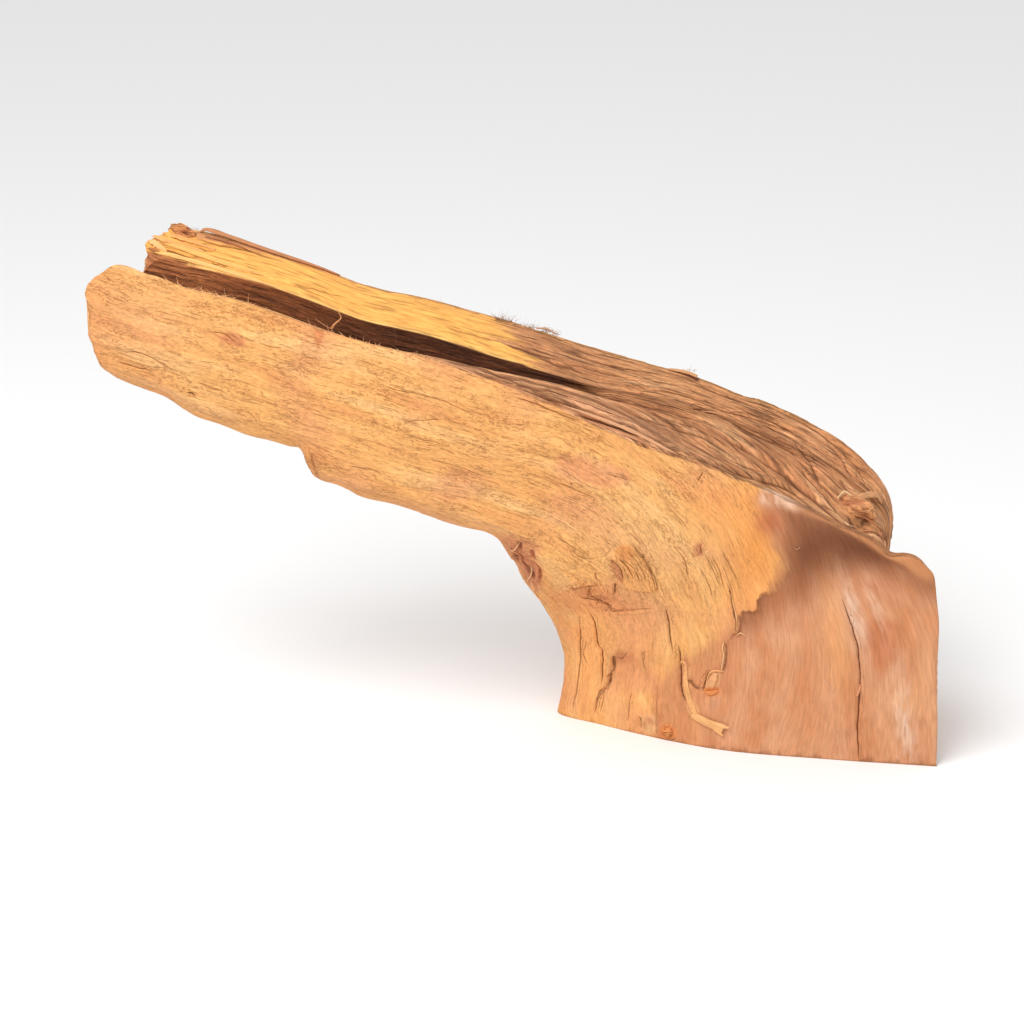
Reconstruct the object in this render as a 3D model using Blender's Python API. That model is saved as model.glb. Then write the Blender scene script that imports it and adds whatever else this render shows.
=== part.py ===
"""A bent piece of driftwood: a limb, split open along its top, that turns down into a sawn foot.

The wood is one solid. It is drawn as a box bent round a U: along runs from the limb's tip to the foot,
around runs from the front wall's top edge, under the limb, to the back wall's top edge, and through runs
from the outer skin to the skin of the split.
"""

import bmesh
import bpy
import numpy as np

for old in list(bpy.data.objects):
    bpy.data.objects.remove(old)

# The driving dimension, in metres. The foot stands on z = 0 and the origin is at the foot's middle.
LENGTH = 0.3935  # overall, from the limb's tip to the foot's heel
DRAWN_LENGTH = 393.5  # the same length in the units that the outlines below are drawn in
UNIT = LENGTH / DRAWN_LENGTH

# The three edges that carry the shape, as (x, y, z) at the same sixteen sections from tip to foot.
RIDGE = (
    (-302, -13, 216), (-295, -13, 227), (-267, -14, 221), (-236, -15, 214),
    (-204, -16, 203), (-183, -17, 196), (-147, -19, 187), (-106, -21, 174),
    (-65, -25, 160), (-24, -30, 142), (17, -36, 123), (53, -42, 107),
    (76, -46, 99), (84, -49, 86), (87, -52, 42), (88, -55, 0),
)
RIM = (
    (-302, 35, 225), (-294, 36, 233), (-266, 36, 234), (-233, 37, 227),
    (-205, 38, 217), (-183, 38, 208), (-148, 40, 199), (-111, 42, 188),
    (-68, 44, 173), (-23, 46, 159), (23, 47, 141), (58, 45, 119),
    (73, 44, 98), (76, 45, 72), (75, 47, 36), (74, 50, 0),
)
UNDERSIDE = (
    (-302, 8, 184), (-295, 8, 170), (-267, 9, 159), (-236, 9, 144),
    (-211, 9, 135), (-200, 9, 119), (-163, 9, 108), (-130, 9, 96),
    (-116, 9, 86), (-105, 9, 70), (-95, 10, 55), (-88, 10, 41),
    (-85, 10, 29), (-85, 10, 19), (-86, 10, 10), (-88, 10, 0),
)
SECTIONS = len(RIDGE)

# Lines of the front and back faces: how far down from the top edge to the underside each lies,
# then how far it stands behind that edge, as (section, distance) pairs.
FRONT_LINES = (
    (0.28, ((0, -4), (4, -7), (7, -7), (9, -4), (11, 7), (13, 7), (15, 8))),
    (0.60, ((0, -4), (4, -8), (7, -9), (9, -3), (11, 12), (13, 18), (15, 21))),
    (0.88, ((0, 1), (4, 0), (7, -1), (9, 10), (11, 27), (13, 41), (15, 48))),
)
BACK_LINES = (
    (0.82, ((0, -8), (4, -9), (8, -8), (15, -10))),
    (0.50, ((0, 3), (4, 4), (9, 7), (15, 8))),
    (0.20, ((0, 4), (4, 5), (9, 6), (15, 8))),
)

# Lines of the split, front wall to back wall: the share of the way across from ridge to rim, and the
# depth below the line that joins them, as (section, value) pairs.
SPLIT_LINES = (
    (((0, 0.33), (6, 0.31), (7, 0.36), (7.6, 0.44), (8, 0.40), (9, 0.10), (15, 0.12)),
     ((0, 12), (5, 11), (6, 8.5), (7, 5.5), (7.6, 6), (8, 4), (9, 3), (11, 4), (15, 3))),
    (((0, 0.37), (6, 0.37), (7.6, 0.45), (8, 0.42), (9, 0.18), (15, 0.25)),
     ((0, 36), (6, 36), (7, 26), (7.6, 8), (9, 7), (11, 9), (15, 4))),
    (((0, 0.50), (6, 0.48), (7.6, 0.47), (8, 0.48), (9, 0.34), (15, 0.45)),
     ((0, 42), (6, 42), (7, 30), (7.6, 9), (9, 9), (11, 12), (15, 5))),
    (((0, 0.64), (6, 0.58), (7.6, 0.50), (8, 0.56), (9, 0.60), (15, 0.70)),
     ((0, 36), (6, 36), (7, 26), (7.6, 8), (9, 8), (11, 10), (15, 4))),
    (((0, 0.67), (4, 0.65), (6, 0.60), (7.6, 0.52), (8, 0.60), (9, 0.76), (15, 0.86)),
     ((0, 4), (1, 9), (2, 9), (4, 8), (7, 6.5), (9, 6), (15, 3))),
)

# Where each skin's lines lie around the U, from ridge to rim.
OUTER_SPACING = (0, 0.13, 0.28, 0.41, 0.5, 0.6, 0.74, 0.88, 1)
SPLIT_SPACING = (0, 0.36, 0.5, 0.64, 1)

# How far the rounded edges and ends stand out from the straight line between the two skins.
RIDGE_CROWN = ((0, 1), (8, 1), (11, 2), (13, 4), (15, 4))
RIM_CROWN = 1.5
TIP_BULGE = 4

# The back wall ends short of the front wall: by this much, over this share of the length, and from
# the underside to the first share around, the one end fades into the other.
SETBACK = 22
SETBACK_FADE = 0.16
SETBACK_SIDE = (0.5, 0.72)

# Faces along the limb, around the U, and through the wall.
ALONG, AROUND, THROUGH = 46, 18, 3

WOOD_COLOUR = (0.87, 0.43, 0.16, 1)
WOOD_ROUGHNESS = 0.75


def at_sections(pairs):
    """The value at each section of a quantity given at some sections, straight between them."""
    where, values = zip(*pairs)
    return np.interp(np.arange(SECTIONS), where, values)


def ease(value, start, end):
    """Rises smoothly from 0 at start to 1 at end."""
    share = np.clip((value - start) / (end - start), 0, 1)
    return share * share * (3 - 2 * share)


def smooth_curve(knots, points, at):
    """A cubic through the points, whose slope at each is that of the parabola through it and its neighbours."""
    gap = np.diff(knots).reshape(-1, *[1] * (points.ndim - 1))
    rise = np.diff(points, axis=0) / gap
    middle = (rise[:-1] * gap[1:] + rise[1:] * gap[:-1]) / (gap[1:] + gap[:-1])
    slope = np.concatenate([rise[:1], middle, rise[-1:]])
    i = np.clip(np.searchsorted(knots, at, side="right") - 1, 0, len(knots) - 2)
    t = ((at - knots[i]) / np.diff(knots)[i]).reshape(-1, *[1] * (points.ndim - 1))
    start = points[i] * (1 + 2 * t) * (1 - t) ** 2 + slope[i] * gap[i] * t * (1 - t) ** 2
    end = points[i + 1] * t * t * (3 - 2 * t) - slope[i + 1] * gap[i] * t * t * (1 - t)
    return start + end


def outer_lines(ridge, rim, under):
    """The lines of the outer skin, from ridge to rim, as an array of line, section, xyz."""
    lines = [ridge]
    for share, behind in FRONT_LINES:
        line = ridge + share * (under - ridge)
        line[:, 1] = ridge[:, 1] + at_sections(behind)
        lines.append(line)
    lines.append(under)
    for share, behind in BACK_LINES:
        line = rim + share * (under - rim)
        line[:, 1] = rim[:, 1] + at_sections(behind)
        lines.append(line)
    return np.array([*lines, rim])


def split_lines(ridge, rim, under):
    """The lines of the skin of the split, from ridge to rim, as an array of line, section, xyz."""
    down = under - (ridge + rim) / 2
    down[:, 1] = 0
    down /= np.linalg.norm(down, axis=1, keepdims=True)
    lines = []
    for across, depth in SPLIT_LINES:
        share = at_sections(across)[:, None]
        lines.append(ridge + share * (rim - ridge) + at_sections(depth)[:, None] * down)
    return np.array(lines)


def skin(lines, knots, spacing, along, around):
    """The smooth sheet through the lines, at each of the along and around shares of its two sides."""
    stretched = smooth_curve(knots, lines.transpose(1, 0, 2), along)
    return smooth_curve(np.array(spacing), stretched.transpose(1, 0, 2), around).transpose(1, 0, 2)


def limb(along, around, through):
    """Where the bent box's points lie, for shares along, around and through it that form a grid."""
    ridge, rim, under = (np.array(edge, float) for edge in (RIDGE, RIM, UNDERSIDE))
    steps = np.linalg.norm(np.diff((ridge + rim + under) / 3, axis=0), axis=1)
    knots = np.concatenate([[0], np.cumsum(steps)]) / steps.sum()
    outside = skin(outer_lines(ridge, rim, under), knots, OUTER_SPACING, along, around)
    inside = skin(split_lines(ridge, rim, under), knots, SPLIT_SPACING, along, around)
    share = through[None, None, :, None]
    points = outside[:, :, None] * (1 - share) + inside[:, :, None] * share
    side = around[None, :, None]
    bow = np.sin(np.pi * through)
    ridge_crown = np.interp(along, knots, at_sections(RIDGE_CROWN))[:, None, None]
    points[..., 2] += (ridge_crown * (1 - side) + RIM_CROWN * side) * bow
    back = ease(around, *SETBACK_SIDE)[None, :, None]
    fade = np.clip(1 - along / SETBACK_FADE, 0, 1)[:, None, None] ** 2
    bulge = np.where(along == 0, TIP_BULGE, 0)[:, None, None] * (1 - back)
    points[..., 0] += SETBACK * fade * back
    points[..., 0] -= bulge * np.sqrt(np.sin(np.pi * around))[None, :, None] * bow
    return points * UNIT


def add_sheet(mesh, points):
    """Adds a sheet of faces through a grid of points."""
    rows, columns = points.shape[:2]
    found = [[mesh.verts.new(point) for point in row] for row in points]
    for i in range(rows - 1):
        for j in range(columns - 1):
            corners = (found[i][j], found[i + 1][j], found[i + 1][j + 1], found[i][j + 1])
            mesh.faces.new(corners)


def make_driftwood():
    """The six sides of the bent box, joined along their edges."""
    along, around, through = (np.linspace(0, 1, n + 1) for n in (ALONG, AROUND, THROUGH))
    points = limb(along, around, through)
    points[-1, :, :, 2] = 0
    wood = bmesh.new()
    add_sheet(wood, points[:, :, 0])
    add_sheet(wood, points[:, :, -1])
    add_sheet(wood, points[:, 0])
    add_sheet(wood, points[:, -1])
    add_sheet(wood, points[0])
    add_sheet(wood, points[-1])
    bmesh.ops.remove_doubles(wood, verts=wood.verts, dist=0.00001)
    bmesh.ops.recalc_face_normals(wood, faces=wood.faces)
    mesh = bpy.data.meshes.new("driftwood")
    wood.to_mesh(mesh)
    wood.free()
    mesh.shade_smooth()
    mesh.materials.append(wood_material())
    bpy.context.scene.collection.objects.link(bpy.data.objects.new("driftwood", mesh))


def wood_material():
    """Bare orange sapwood, dry and dull."""
    material = bpy.data.materials.new("bare_wood")
    material.use_nodes = True
    shader = material.node_tree.nodes["Principled BSDF"]
    shader.inputs["Base Color"].default_value = WOOD_COLOUR
    shader.inputs["Roughness"].default_value = WOOD_ROUGHNESS
    shader.inputs["Metallic"].default_value = 0
    return material


make_driftwood()
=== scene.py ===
"""The looks of a bent piece of driftwood: bare sapwood, split open along its top, standing on a sawn foot.

Sizes are in millimetres where they are drawn and in metres once a mesh is made. Places on the wood are also
given as the photograph's pixels, in a picture of 1024 by 1024, because that is where each mark was seen.
"""

import math

import bpy
import numpy as np
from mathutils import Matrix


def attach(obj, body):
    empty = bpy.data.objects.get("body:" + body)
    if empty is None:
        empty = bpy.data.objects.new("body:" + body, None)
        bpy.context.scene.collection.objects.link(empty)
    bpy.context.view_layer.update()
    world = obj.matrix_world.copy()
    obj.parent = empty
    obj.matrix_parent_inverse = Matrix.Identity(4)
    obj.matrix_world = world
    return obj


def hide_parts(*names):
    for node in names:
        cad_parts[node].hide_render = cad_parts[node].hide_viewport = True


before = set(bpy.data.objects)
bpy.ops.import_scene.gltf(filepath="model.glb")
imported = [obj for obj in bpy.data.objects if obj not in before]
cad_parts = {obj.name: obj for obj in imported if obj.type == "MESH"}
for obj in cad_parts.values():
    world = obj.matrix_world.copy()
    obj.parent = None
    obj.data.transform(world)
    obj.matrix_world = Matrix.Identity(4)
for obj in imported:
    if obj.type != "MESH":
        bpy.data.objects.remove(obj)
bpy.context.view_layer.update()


# The view. The camera looks a little down on the face with the sharp ridge, from far enough for the wood
# to show hardly any perspective, as in the photograph.
PICTURE = 1024
MM_PER_PIXEL = 0.47
VIEW_DISTANCE = 1500
VIEW_ELEVATION = math.radians(20)
VIEW_TARGET = np.array([-110, 0, 106])
FORWARD = np.array([0, math.cos(VIEW_ELEVATION), -math.sin(VIEW_ELEVATION)])
UPWARD = np.array([0, math.sin(VIEW_ELEVATION), math.cos(VIEW_ELEVATION)])
VIEWPOINT = VIEW_TARGET - VIEW_DISTANCE * FORWARD


def add_object(name, data):
    """A new object of the scene that holds the data."""
    made = bpy.data.objects.new(name, data)
    bpy.context.scene.collection.objects.link(made)
    return made


camera = add_object("camera", bpy.data.cameras.new("camera"))
camera.data.lens = camera.data.sensor_width * VIEW_DISTANCE / (MM_PER_PIXEL * PICTURE)
camera.location = VIEWPOINT / 1000
camera.rotation_euler = (math.pi / 2 - VIEW_ELEVATION, 0, 0)
bpy.context.scene.camera = camera


def seen_at(points):
    """The photograph's pixel that each point (in millimetres) is seen at: its offsets across and up, over
    its distance ahead, times the distance of the picture plane."""
    offset = points - VIEWPOINT
    scale = VIEW_DISTANCE / MM_PER_PIXEL / (offset @ FORWARD)
    return PICTURE / 2 + np.stack([offset[..., 0] * scale, -(offset @ UPWARD) * scale], -1)


# The wood's form. The grown limb is a box bent round a U: along runs from its tip to the sawn foot, around
# from the front wall's ridge, under the limb, to the back wall's rim, and through from the outer skin to the
# skin of the split. Its three long edges and the lines between them are the ones that the solid part has.
RIDGE = (
    (-302, -13, 216), (-295, -13, 227), (-267, -14, 221), (-236, -15, 214),
    (-204, -16, 203), (-183, -17, 196), (-147, -19, 187), (-106, -21, 174),
    (-65, -25, 160), (-24, -30, 142), (17, -36, 123), (53, -42, 107),
    (76, -46, 99), (84, -49, 86), (87, -52, 42), (88, -55, 0),
)
RIM = (
    (-302, 35, 225), (-294, 36, 233), (-266, 36, 234), (-233, 37, 227),
    (-205, 38, 217), (-183, 38, 208), (-148, 40, 199), (-111, 42, 188),
    (-68, 44, 173), (-23, 46, 159), (23, 47, 141), (58, 45, 119),
    (73, 44, 98), (76, 45, 72), (75, 47, 36), (74, 50, 0),
)
UNDERSIDE = (
    (-302, 8, 184), (-295, 8, 170), (-267, 9, 159), (-236, 9, 144),
    (-211, 9, 135), (-200, 9, 119), (-163, 9, 108), (-130, 9, 96),
    (-116, 9, 86), (-105, 9, 70), (-95, 10, 55), (-88, 10, 41),
    (-85, 10, 29), (-85, 10, 19), (-86, 10, 10), (-88, 10, 0),
)
SECTIONS = len(RIDGE)
FRONT_LINES = (
    (0.28, ((0, -4), (4, -7), (7, -7), (9, -4), (11, 7), (13, 7), (15, 8))),
    (0.60, ((0, -4), (4, -8), (7, -9), (9, -3), (11, 12), (13, 18), (15, 21))),
    (0.88, ((0, 1), (4, 0), (7, -1), (9, 10), (11, 27), (13, 41), (15, 48))),
)
BACK_LINES = (
    (0.82, ((0, -8), (4, -9), (8, -8), (15, -10))),
    (0.50, ((0, 3), (4, 4), (9, 7), (15, 8))),
    (0.20, ((0, 4), (4, 5), (9, 6), (15, 8))),
)
SPLIT_LINES = (
    (((0, 0.33), (6, 0.31), (7, 0.36), (7.6, 0.44), (8, 0.40), (9, 0.10), (15, 0.12)),
     ((0, 12), (5, 11), (6, 8.5), (7, 5.5), (7.6, 6), (8, 4), (9, 3), (11, 4), (15, 3))),
    (((0, 0.37), (6, 0.37), (7.6, 0.45), (8, 0.42), (9, 0.18), (15, 0.25)),
     ((0, 36), (6, 36), (7, 26), (7.6, 8), (9, 7), (11, 9), (15, 4))),
    (((0, 0.50), (6, 0.48), (7.6, 0.47), (8, 0.48), (9, 0.34), (15, 0.45)),
     ((0, 42), (6, 42), (7, 30), (7.6, 9), (9, 9), (11, 12), (15, 5))),
    (((0, 0.64), (6, 0.58), (7.6, 0.50), (8, 0.56), (9, 0.60), (15, 0.70)),
     ((0, 36), (6, 36), (7, 26), (7.6, 8), (9, 8), (11, 10), (15, 4))),
    (((0, 0.67), (4, 0.65), (6, 0.60), (7.6, 0.52), (8, 0.60), (9, 0.76), (15, 0.86)),
     ((0, 4), (1, 9), (2, 9), (4, 8), (7, 6.5), (9, 6), (15, 3))),
)
OUTER_SPACING = (0, 0.13, 0.28, 0.41, 0.5, 0.6, 0.74, 0.88, 1)
SPLIT_SPACING = (0, 0.36, 0.5, 0.64, 1)
RIDGE_CROWN = ((0, 1), (8, 1), (11, 2), (13, 4), (15, 4))
RIM_CROWN = 1.5
TIP_BULGE = 4
SETBACK = 22
SETBACK_FADE = 0.16
SETBACK_SIDE = (0.5, 0.72)


def at_sections(pairs):
    """The value at each section of a quantity given at some sections, straight between them."""
    where, values = zip(*pairs)
    return np.interp(np.arange(SECTIONS), where, values)


def ease(value, start, end):
    """Rises from 0 at start to 1 at end as three squares less two cubes of the share of the way."""
    share = np.clip((value - start) / (end - start), 0, 1)
    return share * share * (3 - 2 * share)


def smooth_curve(knots, points, at):
    """A cubic through the points, with the slope at each of the parabola through it and its neighbours."""
    gap = np.diff(knots).reshape(-1, *[1] * (points.ndim - 1))
    rise = np.diff(points, axis=0) / gap
    middle = (rise[:-1] * gap[1:] + rise[1:] * gap[:-1]) / (gap[1:] + gap[:-1])
    slope = np.concatenate([rise[:1], middle, rise[-1:]])
    i = np.clip(np.searchsorted(knots, at, side="right") - 1, 0, len(knots) - 2)
    t = ((at - knots[i]) / np.diff(knots)[i]).reshape(-1, *[1] * (points.ndim - 1))
    start = points[i] * (1 + 2 * t) * (1 - t) ** 2 + slope[i] * gap[i] * t * (1 - t) ** 2
    end = points[i + 1] * t * t * (3 - 2 * t) - slope[i + 1] * gap[i] * t * t * (1 - t)
    return start + end


EDGES = [np.array(edge, float) for edge in (RIDGE, RIM, UNDERSIDE)]
STEPS = np.linalg.norm(np.diff(sum(EDGES) / 3, axis=0), axis=1)
LIMB_LENGTH = STEPS.sum()
KNOTS = np.concatenate([[0], np.cumsum(STEPS)]) / LIMB_LENGTH


def hung_lines(top, lines):
    """Lines of the outer skin: each lies a share of the way down from the top edge to the underside and a
    distance behind that edge."""
    hung = []
    for share, behind in lines:
        line = top + share * (EDGES[2] - top)
        line[:, 1] = top[:, 1] + at_sections(behind)
        hung.append(line)
    return hung


def outer_lines():
    """The lines of the outer skin, from the ridge under the limb to the rim."""
    ridge, rim, under = EDGES
    return np.array([ridge, *hung_lines(ridge, FRONT_LINES), under, *hung_lines(rim, BACK_LINES), rim])


def split_lines():
    """The lines of the split's skin, ridge to rim: each lies a share of the way from ridge to rim and a
    depth below the line that joins them."""
    ridge, rim, under = EDGES
    down = under - (ridge + rim) / 2
    down[:, 1] = 0
    down /= np.linalg.norm(down, axis=1, keepdims=True)
    lines = []
    for across, depth in SPLIT_LINES:
        share = at_sections(across)[:, None]
        lines.append(ridge + share * (rim - ridge) + at_sections(depth)[:, None] * down)
    return np.array(lines)


def skin(lines, spacing, along, around):
    """The smooth sheet through the lines, at each of the along and around shares of its two sides."""
    stretched = smooth_curve(KNOTS, lines.transpose(1, 0, 2), along)
    return smooth_curve(np.array(spacing), stretched.transpose(1, 0, 2), around).transpose(1, 0, 2)


# The wood's surface, as a fine net over the whole bent box. Each point of the net is known by its three whole
# numbers along, around and through, so the six sides share the points of their common edges and the net is
# closed. Its steps are shorter where the camera looks: on the foot's half of the length and on the front.
ALONG, AROUND, THROUGH = 820, 520, 56
ALONG_STEPS = np.interp(np.linspace(0, 1, ALONG + 1), (0, 0.5, 1), (0, 0.56, 1))
AROUND_STEPS = np.interp(np.linspace(0, 1, AROUND + 1), (0, 0.62, 1), (0, 0.5, 1))


def net_over_box():
    """The three whole numbers of each point of the six sides of the box, and which four points each square
    joins. A point's number is its place in the sorted list of along, around and through."""
    size = np.array([ALONG, AROUND, THROUGH])
    place = np.array([(AROUND + 1) * (THROUGH + 1), THROUGH + 1, 1])
    squares = []
    for axis in range(3):
        first, second = [other for other in range(3) if other != axis]
        if axis == 1:
            first, second = second, first
        rows, columns = (np.arange(size[side] + 1) * place[side] for side in (first, second))
        grid = np.add.outer(rows, columns)
        corners = np.stack([grid[:-1, :-1], grid[1:, :-1], grid[1:, 1:], grid[:-1, 1:]], -1).reshape(-1, 4)
        squares.append(corners[:, ::-1])
        squares.append(corners + size[axis] * place[axis])
    numbers, squares = np.unique(np.concatenate(squares), return_inverse=True)
    whole = np.stack([numbers // place[0], numbers // place[1] % (AROUND + 1), numbers % (THROUGH + 1)], 1)
    return whole, squares.reshape(-1, 4)


def limb():
    """Where the net's points lie: the outer skin and the split's skin, blended through the wall, with the
    ridge, the rim and the tip crowned by a sine and the back wall's end set back."""
    outside = skin(outer_lines(), OUTER_SPACING, ALONG_STEPS, AROUND_STEPS)
    inside = skin(split_lines(), SPLIT_SPACING, ALONG_STEPS, np.linspace(0, 1, AROUND + 1))
    share = through[:, None]
    points = outside[whole[:, 0], whole[:, 1]] * (1 - share) + inside[whole[:, 0], whole[:, 1]] * share
    bow = np.sin(np.pi * through)
    ridge_crown = np.interp(along, KNOTS, at_sections(RIDGE_CROWN))
    points[:, 2] += (ridge_crown * (1 - around) + RIM_CROWN * around) * bow
    bulge = (along == 0) * ease(0.46 - around, 0, 0.2) * np.sqrt(np.sin(np.pi * around))
    points[:, 0] += set_back - TIP_BULGE * bulge * bow
    return points


whole, squares = net_over_box()
through = whole[:, 2] / THROUGH
along = ALONG_STEPS[whole[:, 0]]
around = AROUND_STEPS[whole[:, 1]] * (1 - through) + whole[:, 1] / AROUND * through
set_back = SETBACK * np.clip(1 - along / SETBACK_FADE, 0, 1) ** 2 * ease(around, *SETBACK_SIDE)
points = limb()


def normals_of(points):
    """Each point's outward direction: the sum of the cross products of the diagonals of its squares."""
    a, b, c, d = points[squares].transpose(1, 0, 2)
    across = np.cross(c - a, d - b)
    total = np.empty_like(points)
    for axis in range(3):
        total[:, axis] = np.bincount(squares.ravel(), np.repeat(across[:, axis], 4), len(points))
    return total / np.linalg.norm(total, axis=1, keepdims=True)


corners = points[squares]
diagonals = np.cross(corners[:, 2] - corners[:, 0], corners[:, 3] - corners[:, 1])
if (corners[:, 0] * diagonals).sum() < 0:
    squares = squares[:, ::-1]


def noise(places, seed):
    """Smooth random heights of about -1 to 1: between the eight corners of each unit cube, the eased blend
    of the slopes that a hash of each corner picks from a table."""
    slopes = np.random.default_rng(7).normal(size=(256, 3)).astype(np.float32)
    slopes /= np.linalg.norm(slopes, axis=1, keepdims=True)
    low = np.floor(places)
    inside = (places - low).astype(np.float32).T
    fade = inside ** 3 * (10 - 15 * inside + 6 * inside ** 2)
    spread = (73856093, 19349663, 83492791)
    home = (low.astype(np.int64).astype(np.uint32) * np.array(spread, np.uint32)).sum(1, dtype=np.uint32)
    total = np.zeros(len(places), np.float32)
    for corner in range(8):
        step = (corner & 1, corner >> 1 & 1, corner >> 2)
        shift = sum(move * factor for move, factor in zip(step, spread)) + seed * 40503
        cell = home + np.uint32(shift & 0xFFFFFFFF)
        cell = (cell ^ cell >> 15) * np.uint32(2246822519)
        cell = (cell ^ cell >> 13) & 255
        share = np.prod([near if move else 1 - near for move, near in zip(step, fade)], axis=0)
        total += share * sum(slopes[cell, axis] * (inside[axis] - step[axis]) for axis in range(3))
    return total * 1.7


# The wood's edges are worn round: the limb's tip and the rim the most, and the ridge and the split's edges
# hardly, except at the closed end of the split.
def worn(points, weight, passes):
    """Each pass moves every point by its weight towards the mean of the points that it is joined to."""
    ends = np.concatenate([squares, np.roll(squares, -1, axis=1)], 0).reshape(2, -1)
    ends = ends[:, (weight[ends] > 0.005).any(0)]
    count = np.bincount(ends[0], minlength=len(points)) + np.bincount(ends[1], minlength=len(points))
    count = np.maximum(count, 1)
    for _ in range(passes):
        for axis in range(3):
            total = np.bincount(ends[0], points[ends[1], axis], len(points))
            total += np.bincount(ends[1], points[ends[0], axis], len(points))
            points[:, axis] += weight * np.where(total == 0, 0, total / count - points[:, axis])
    return points


def beside_edge(side, layer, reach):
    """1 on one of the box's four long edges, falling as a bell curve with the distance to it."""
    edge = np.empty((ALONG + 1, 3))
    on_edge = (whole[:, 1] == side * AROUND) & (whole[:, 2] == layer * THROUGH)
    edge[whole[on_edge, 0]] = points[on_edge]
    gap = np.linalg.norm(points - edge[whole[:, 0]], axis=1)
    return np.exp(-(gap / reach) ** 2)


SPLIT_CLOSES, SPLIT_ENDS = KNOTS[9], KNOTS[11]
lip = ease(along, SPLIT_CLOSES, SPLIT_ENDS)
wear = np.maximum.reduce([
    beside_edge(0, 0, 1.2 + 4.5 * lip),
    beside_edge(0, 1, 1.5 + 4.5 * lip),
    beside_edge(1, 0, 1.6 + 2.5 * lip),
    0.25 * beside_edge(1, 1, 0.6 + 3 * lip),
    np.exp(-(along * LIMB_LENGTH / 6) ** 2) * ease(0.72 - around, 0, 0.1) * (through < 1),
])
points = worn(points, 0.5 * wear * (points[:, 2] > 0.01), 60)

# The back wall is broken off, so its end is a fringe of splinters of different lengths.
fringe = noise(np.stack([0 * around, around * 26, through * 4], 1), 9)
fringe += 0.25 * noise(np.stack([0 * around, around * 60, through * 8], 1), 10)
points[:, 0] += 2.4 * fringe * ease(around, 0.60, 0.74) * np.exp(-along * LIMB_LENGTH / 7)

# Where the worn outline still differs from the real one, it is pushed: around a pixel of the photograph, over
# two reaches in pixels, by millimetres to the right and up.
PUSHES = (
    ((112, 398), (34, 24), (1.6, 4.2)),
    ((152, 225), (12, 9), (9.0, -1.0)),
    ((151, 243), (8, 6), (-2.5, 0.0)),
    ((138, 402), (30, 16), (0.0, 3.5)),
    ((132, 262), (24, 18), (0.0, -0.8)),
    ((90, 286), (16, 16), (-3.0, 1.0)),
    ((333, 492), (22, 16), (2.0, 3.0)),
    ((484, 545), (30, 18), (1.5, 3.6)),
    ((896, 545), (16, 14), (-2.0, -4.6)),
    ((304, 452), (10, 14), (0.0, 4.4)),
    ((84, 345), (20, 30), (1.2, 0.6)),
    ((106, 364), (12, 10), (-1.4, -0.8)),
    ((162, 282), (18, 10), (0.0, 2.2)),
    ((190, 412), (34, 12), (0.0, -2.2)),
    ((516, 570), (10, 10), (0.0, 2.5)),
    ((744, 390), (30, 12), (0.0, -1.2)),
    ((932, 580), (7, 12), (0.6, 2.0)),
)


def patch(centre, reach, tilt=0):
    """1 at a pixel of the photograph, falling as a bell curve over the two reaches of an ellipse that is
    tilted clockwise."""
    turn = math.radians(tilt)
    axes = np.array([[math.cos(turn), -math.sin(turn)], [math.sin(turn), math.cos(turn)]])
    return np.exp(-(((pixels - centre) @ axes / reach) ** 2).sum(1))


pixels = seen_at(points)
points[:, (0, 2)] += sum(patch(centre, reach)[:, None] * push for centre, reach, push in PUSHES)
pixels = seen_at(points)
pixel_x, pixel_y = pixels.T


# The grain. Outside, the fibres run down the limb, turn about a centre in its crook and run down into the
# foot. In the split they run along it, and those between ridge and rim close in on the knot at its end.
CROOK = (-128, 38)
LIMB_FALL = math.radians(17.5)
TURN_LENGTH = 110
KNOT_PULL = 0.9
FRONT_STRIP, SPLIT_WIDTH, BACK_STRIP = 16, 60, 20
GRAIN_DEPTH = 60


def outer_grain():
    """Places along and across the outer fibres: the angle about the crook, held between the limb's direction
    and straight down, times the turn's length, plus how far the point lies ahead of that angle's radius; and
    how far out along the radius it lies."""
    from_crook = points[:, (0, 2)] - CROOK
    ahead = from_crook @ (math.cos(LIMB_FALL), -math.sin(LIMB_FALL))
    out = from_crook @ (math.sin(LIMB_FALL), math.cos(LIMB_FALL))
    turned = np.clip(np.arctan2(ahead, out), 0, math.pi / 2 - LIMB_FALL)
    run = TURN_LENGTH * turned + ahead * np.cos(turned) - out * np.sin(turned)
    across = out * np.cos(turned) + ahead * np.sin(turned)
    return np.stack([run, across, GRAIN_DEPTH * ease(around, 0.35, 0.65)], 1)


def split_grain():
    """Places along and across the split's fibres: the limb's length, and the way round the split's skin from
    ridge to rim, whose share of its width is raised to a power that falls towards the knot. Near the back
    wall's broken end the way across is the height above the limb's axis instead."""
    width = FRONT_STRIP + SPLIT_WIDTH + BACK_STRIP
    across = np.where(whole[:, 1] == 0, FRONT_STRIP * through, FRONT_STRIP + SPLIT_WIDTH * around)
    across = np.where(whole[:, 1] == AROUND, width - BACK_STRIP * through, across)
    pull = 1 + KNOT_PULL * np.clip((along - KNOTS[8]) / (SPLIT_ENDS - KNOTS[8]), 0, 1) ** 2.5
    bent = np.clip(across / width, 0.002, 1) ** (1 / pull) * width
    level = (points[:, (0, 2)] - CROOK) @ (math.sin(LIMB_FALL), math.cos(LIMB_FALL)) - bent
    level -= np.median(level[(np.abs(along - 0.1) < 0.01) & (whole[:, 1] == AROUND)])
    bent += level * ease(0.12 - along, 0, 0.08) * ease(around, 0.7, 0.8)
    return np.stack([along * LIMB_LENGTH + set_back, bent, 0 * bent], 1)


def grain_noise(length, width, seed, waves=1):
    """Noise drawn out along the fibres, with features of that length and width in millimetres. Each further
    wave is half the size and half the height of the one before."""
    return sum(
        noise(fibre * 2 ** wave / (length, width, width), seed + wave) / 2 ** wave for wave in range(waves)
    )


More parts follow.
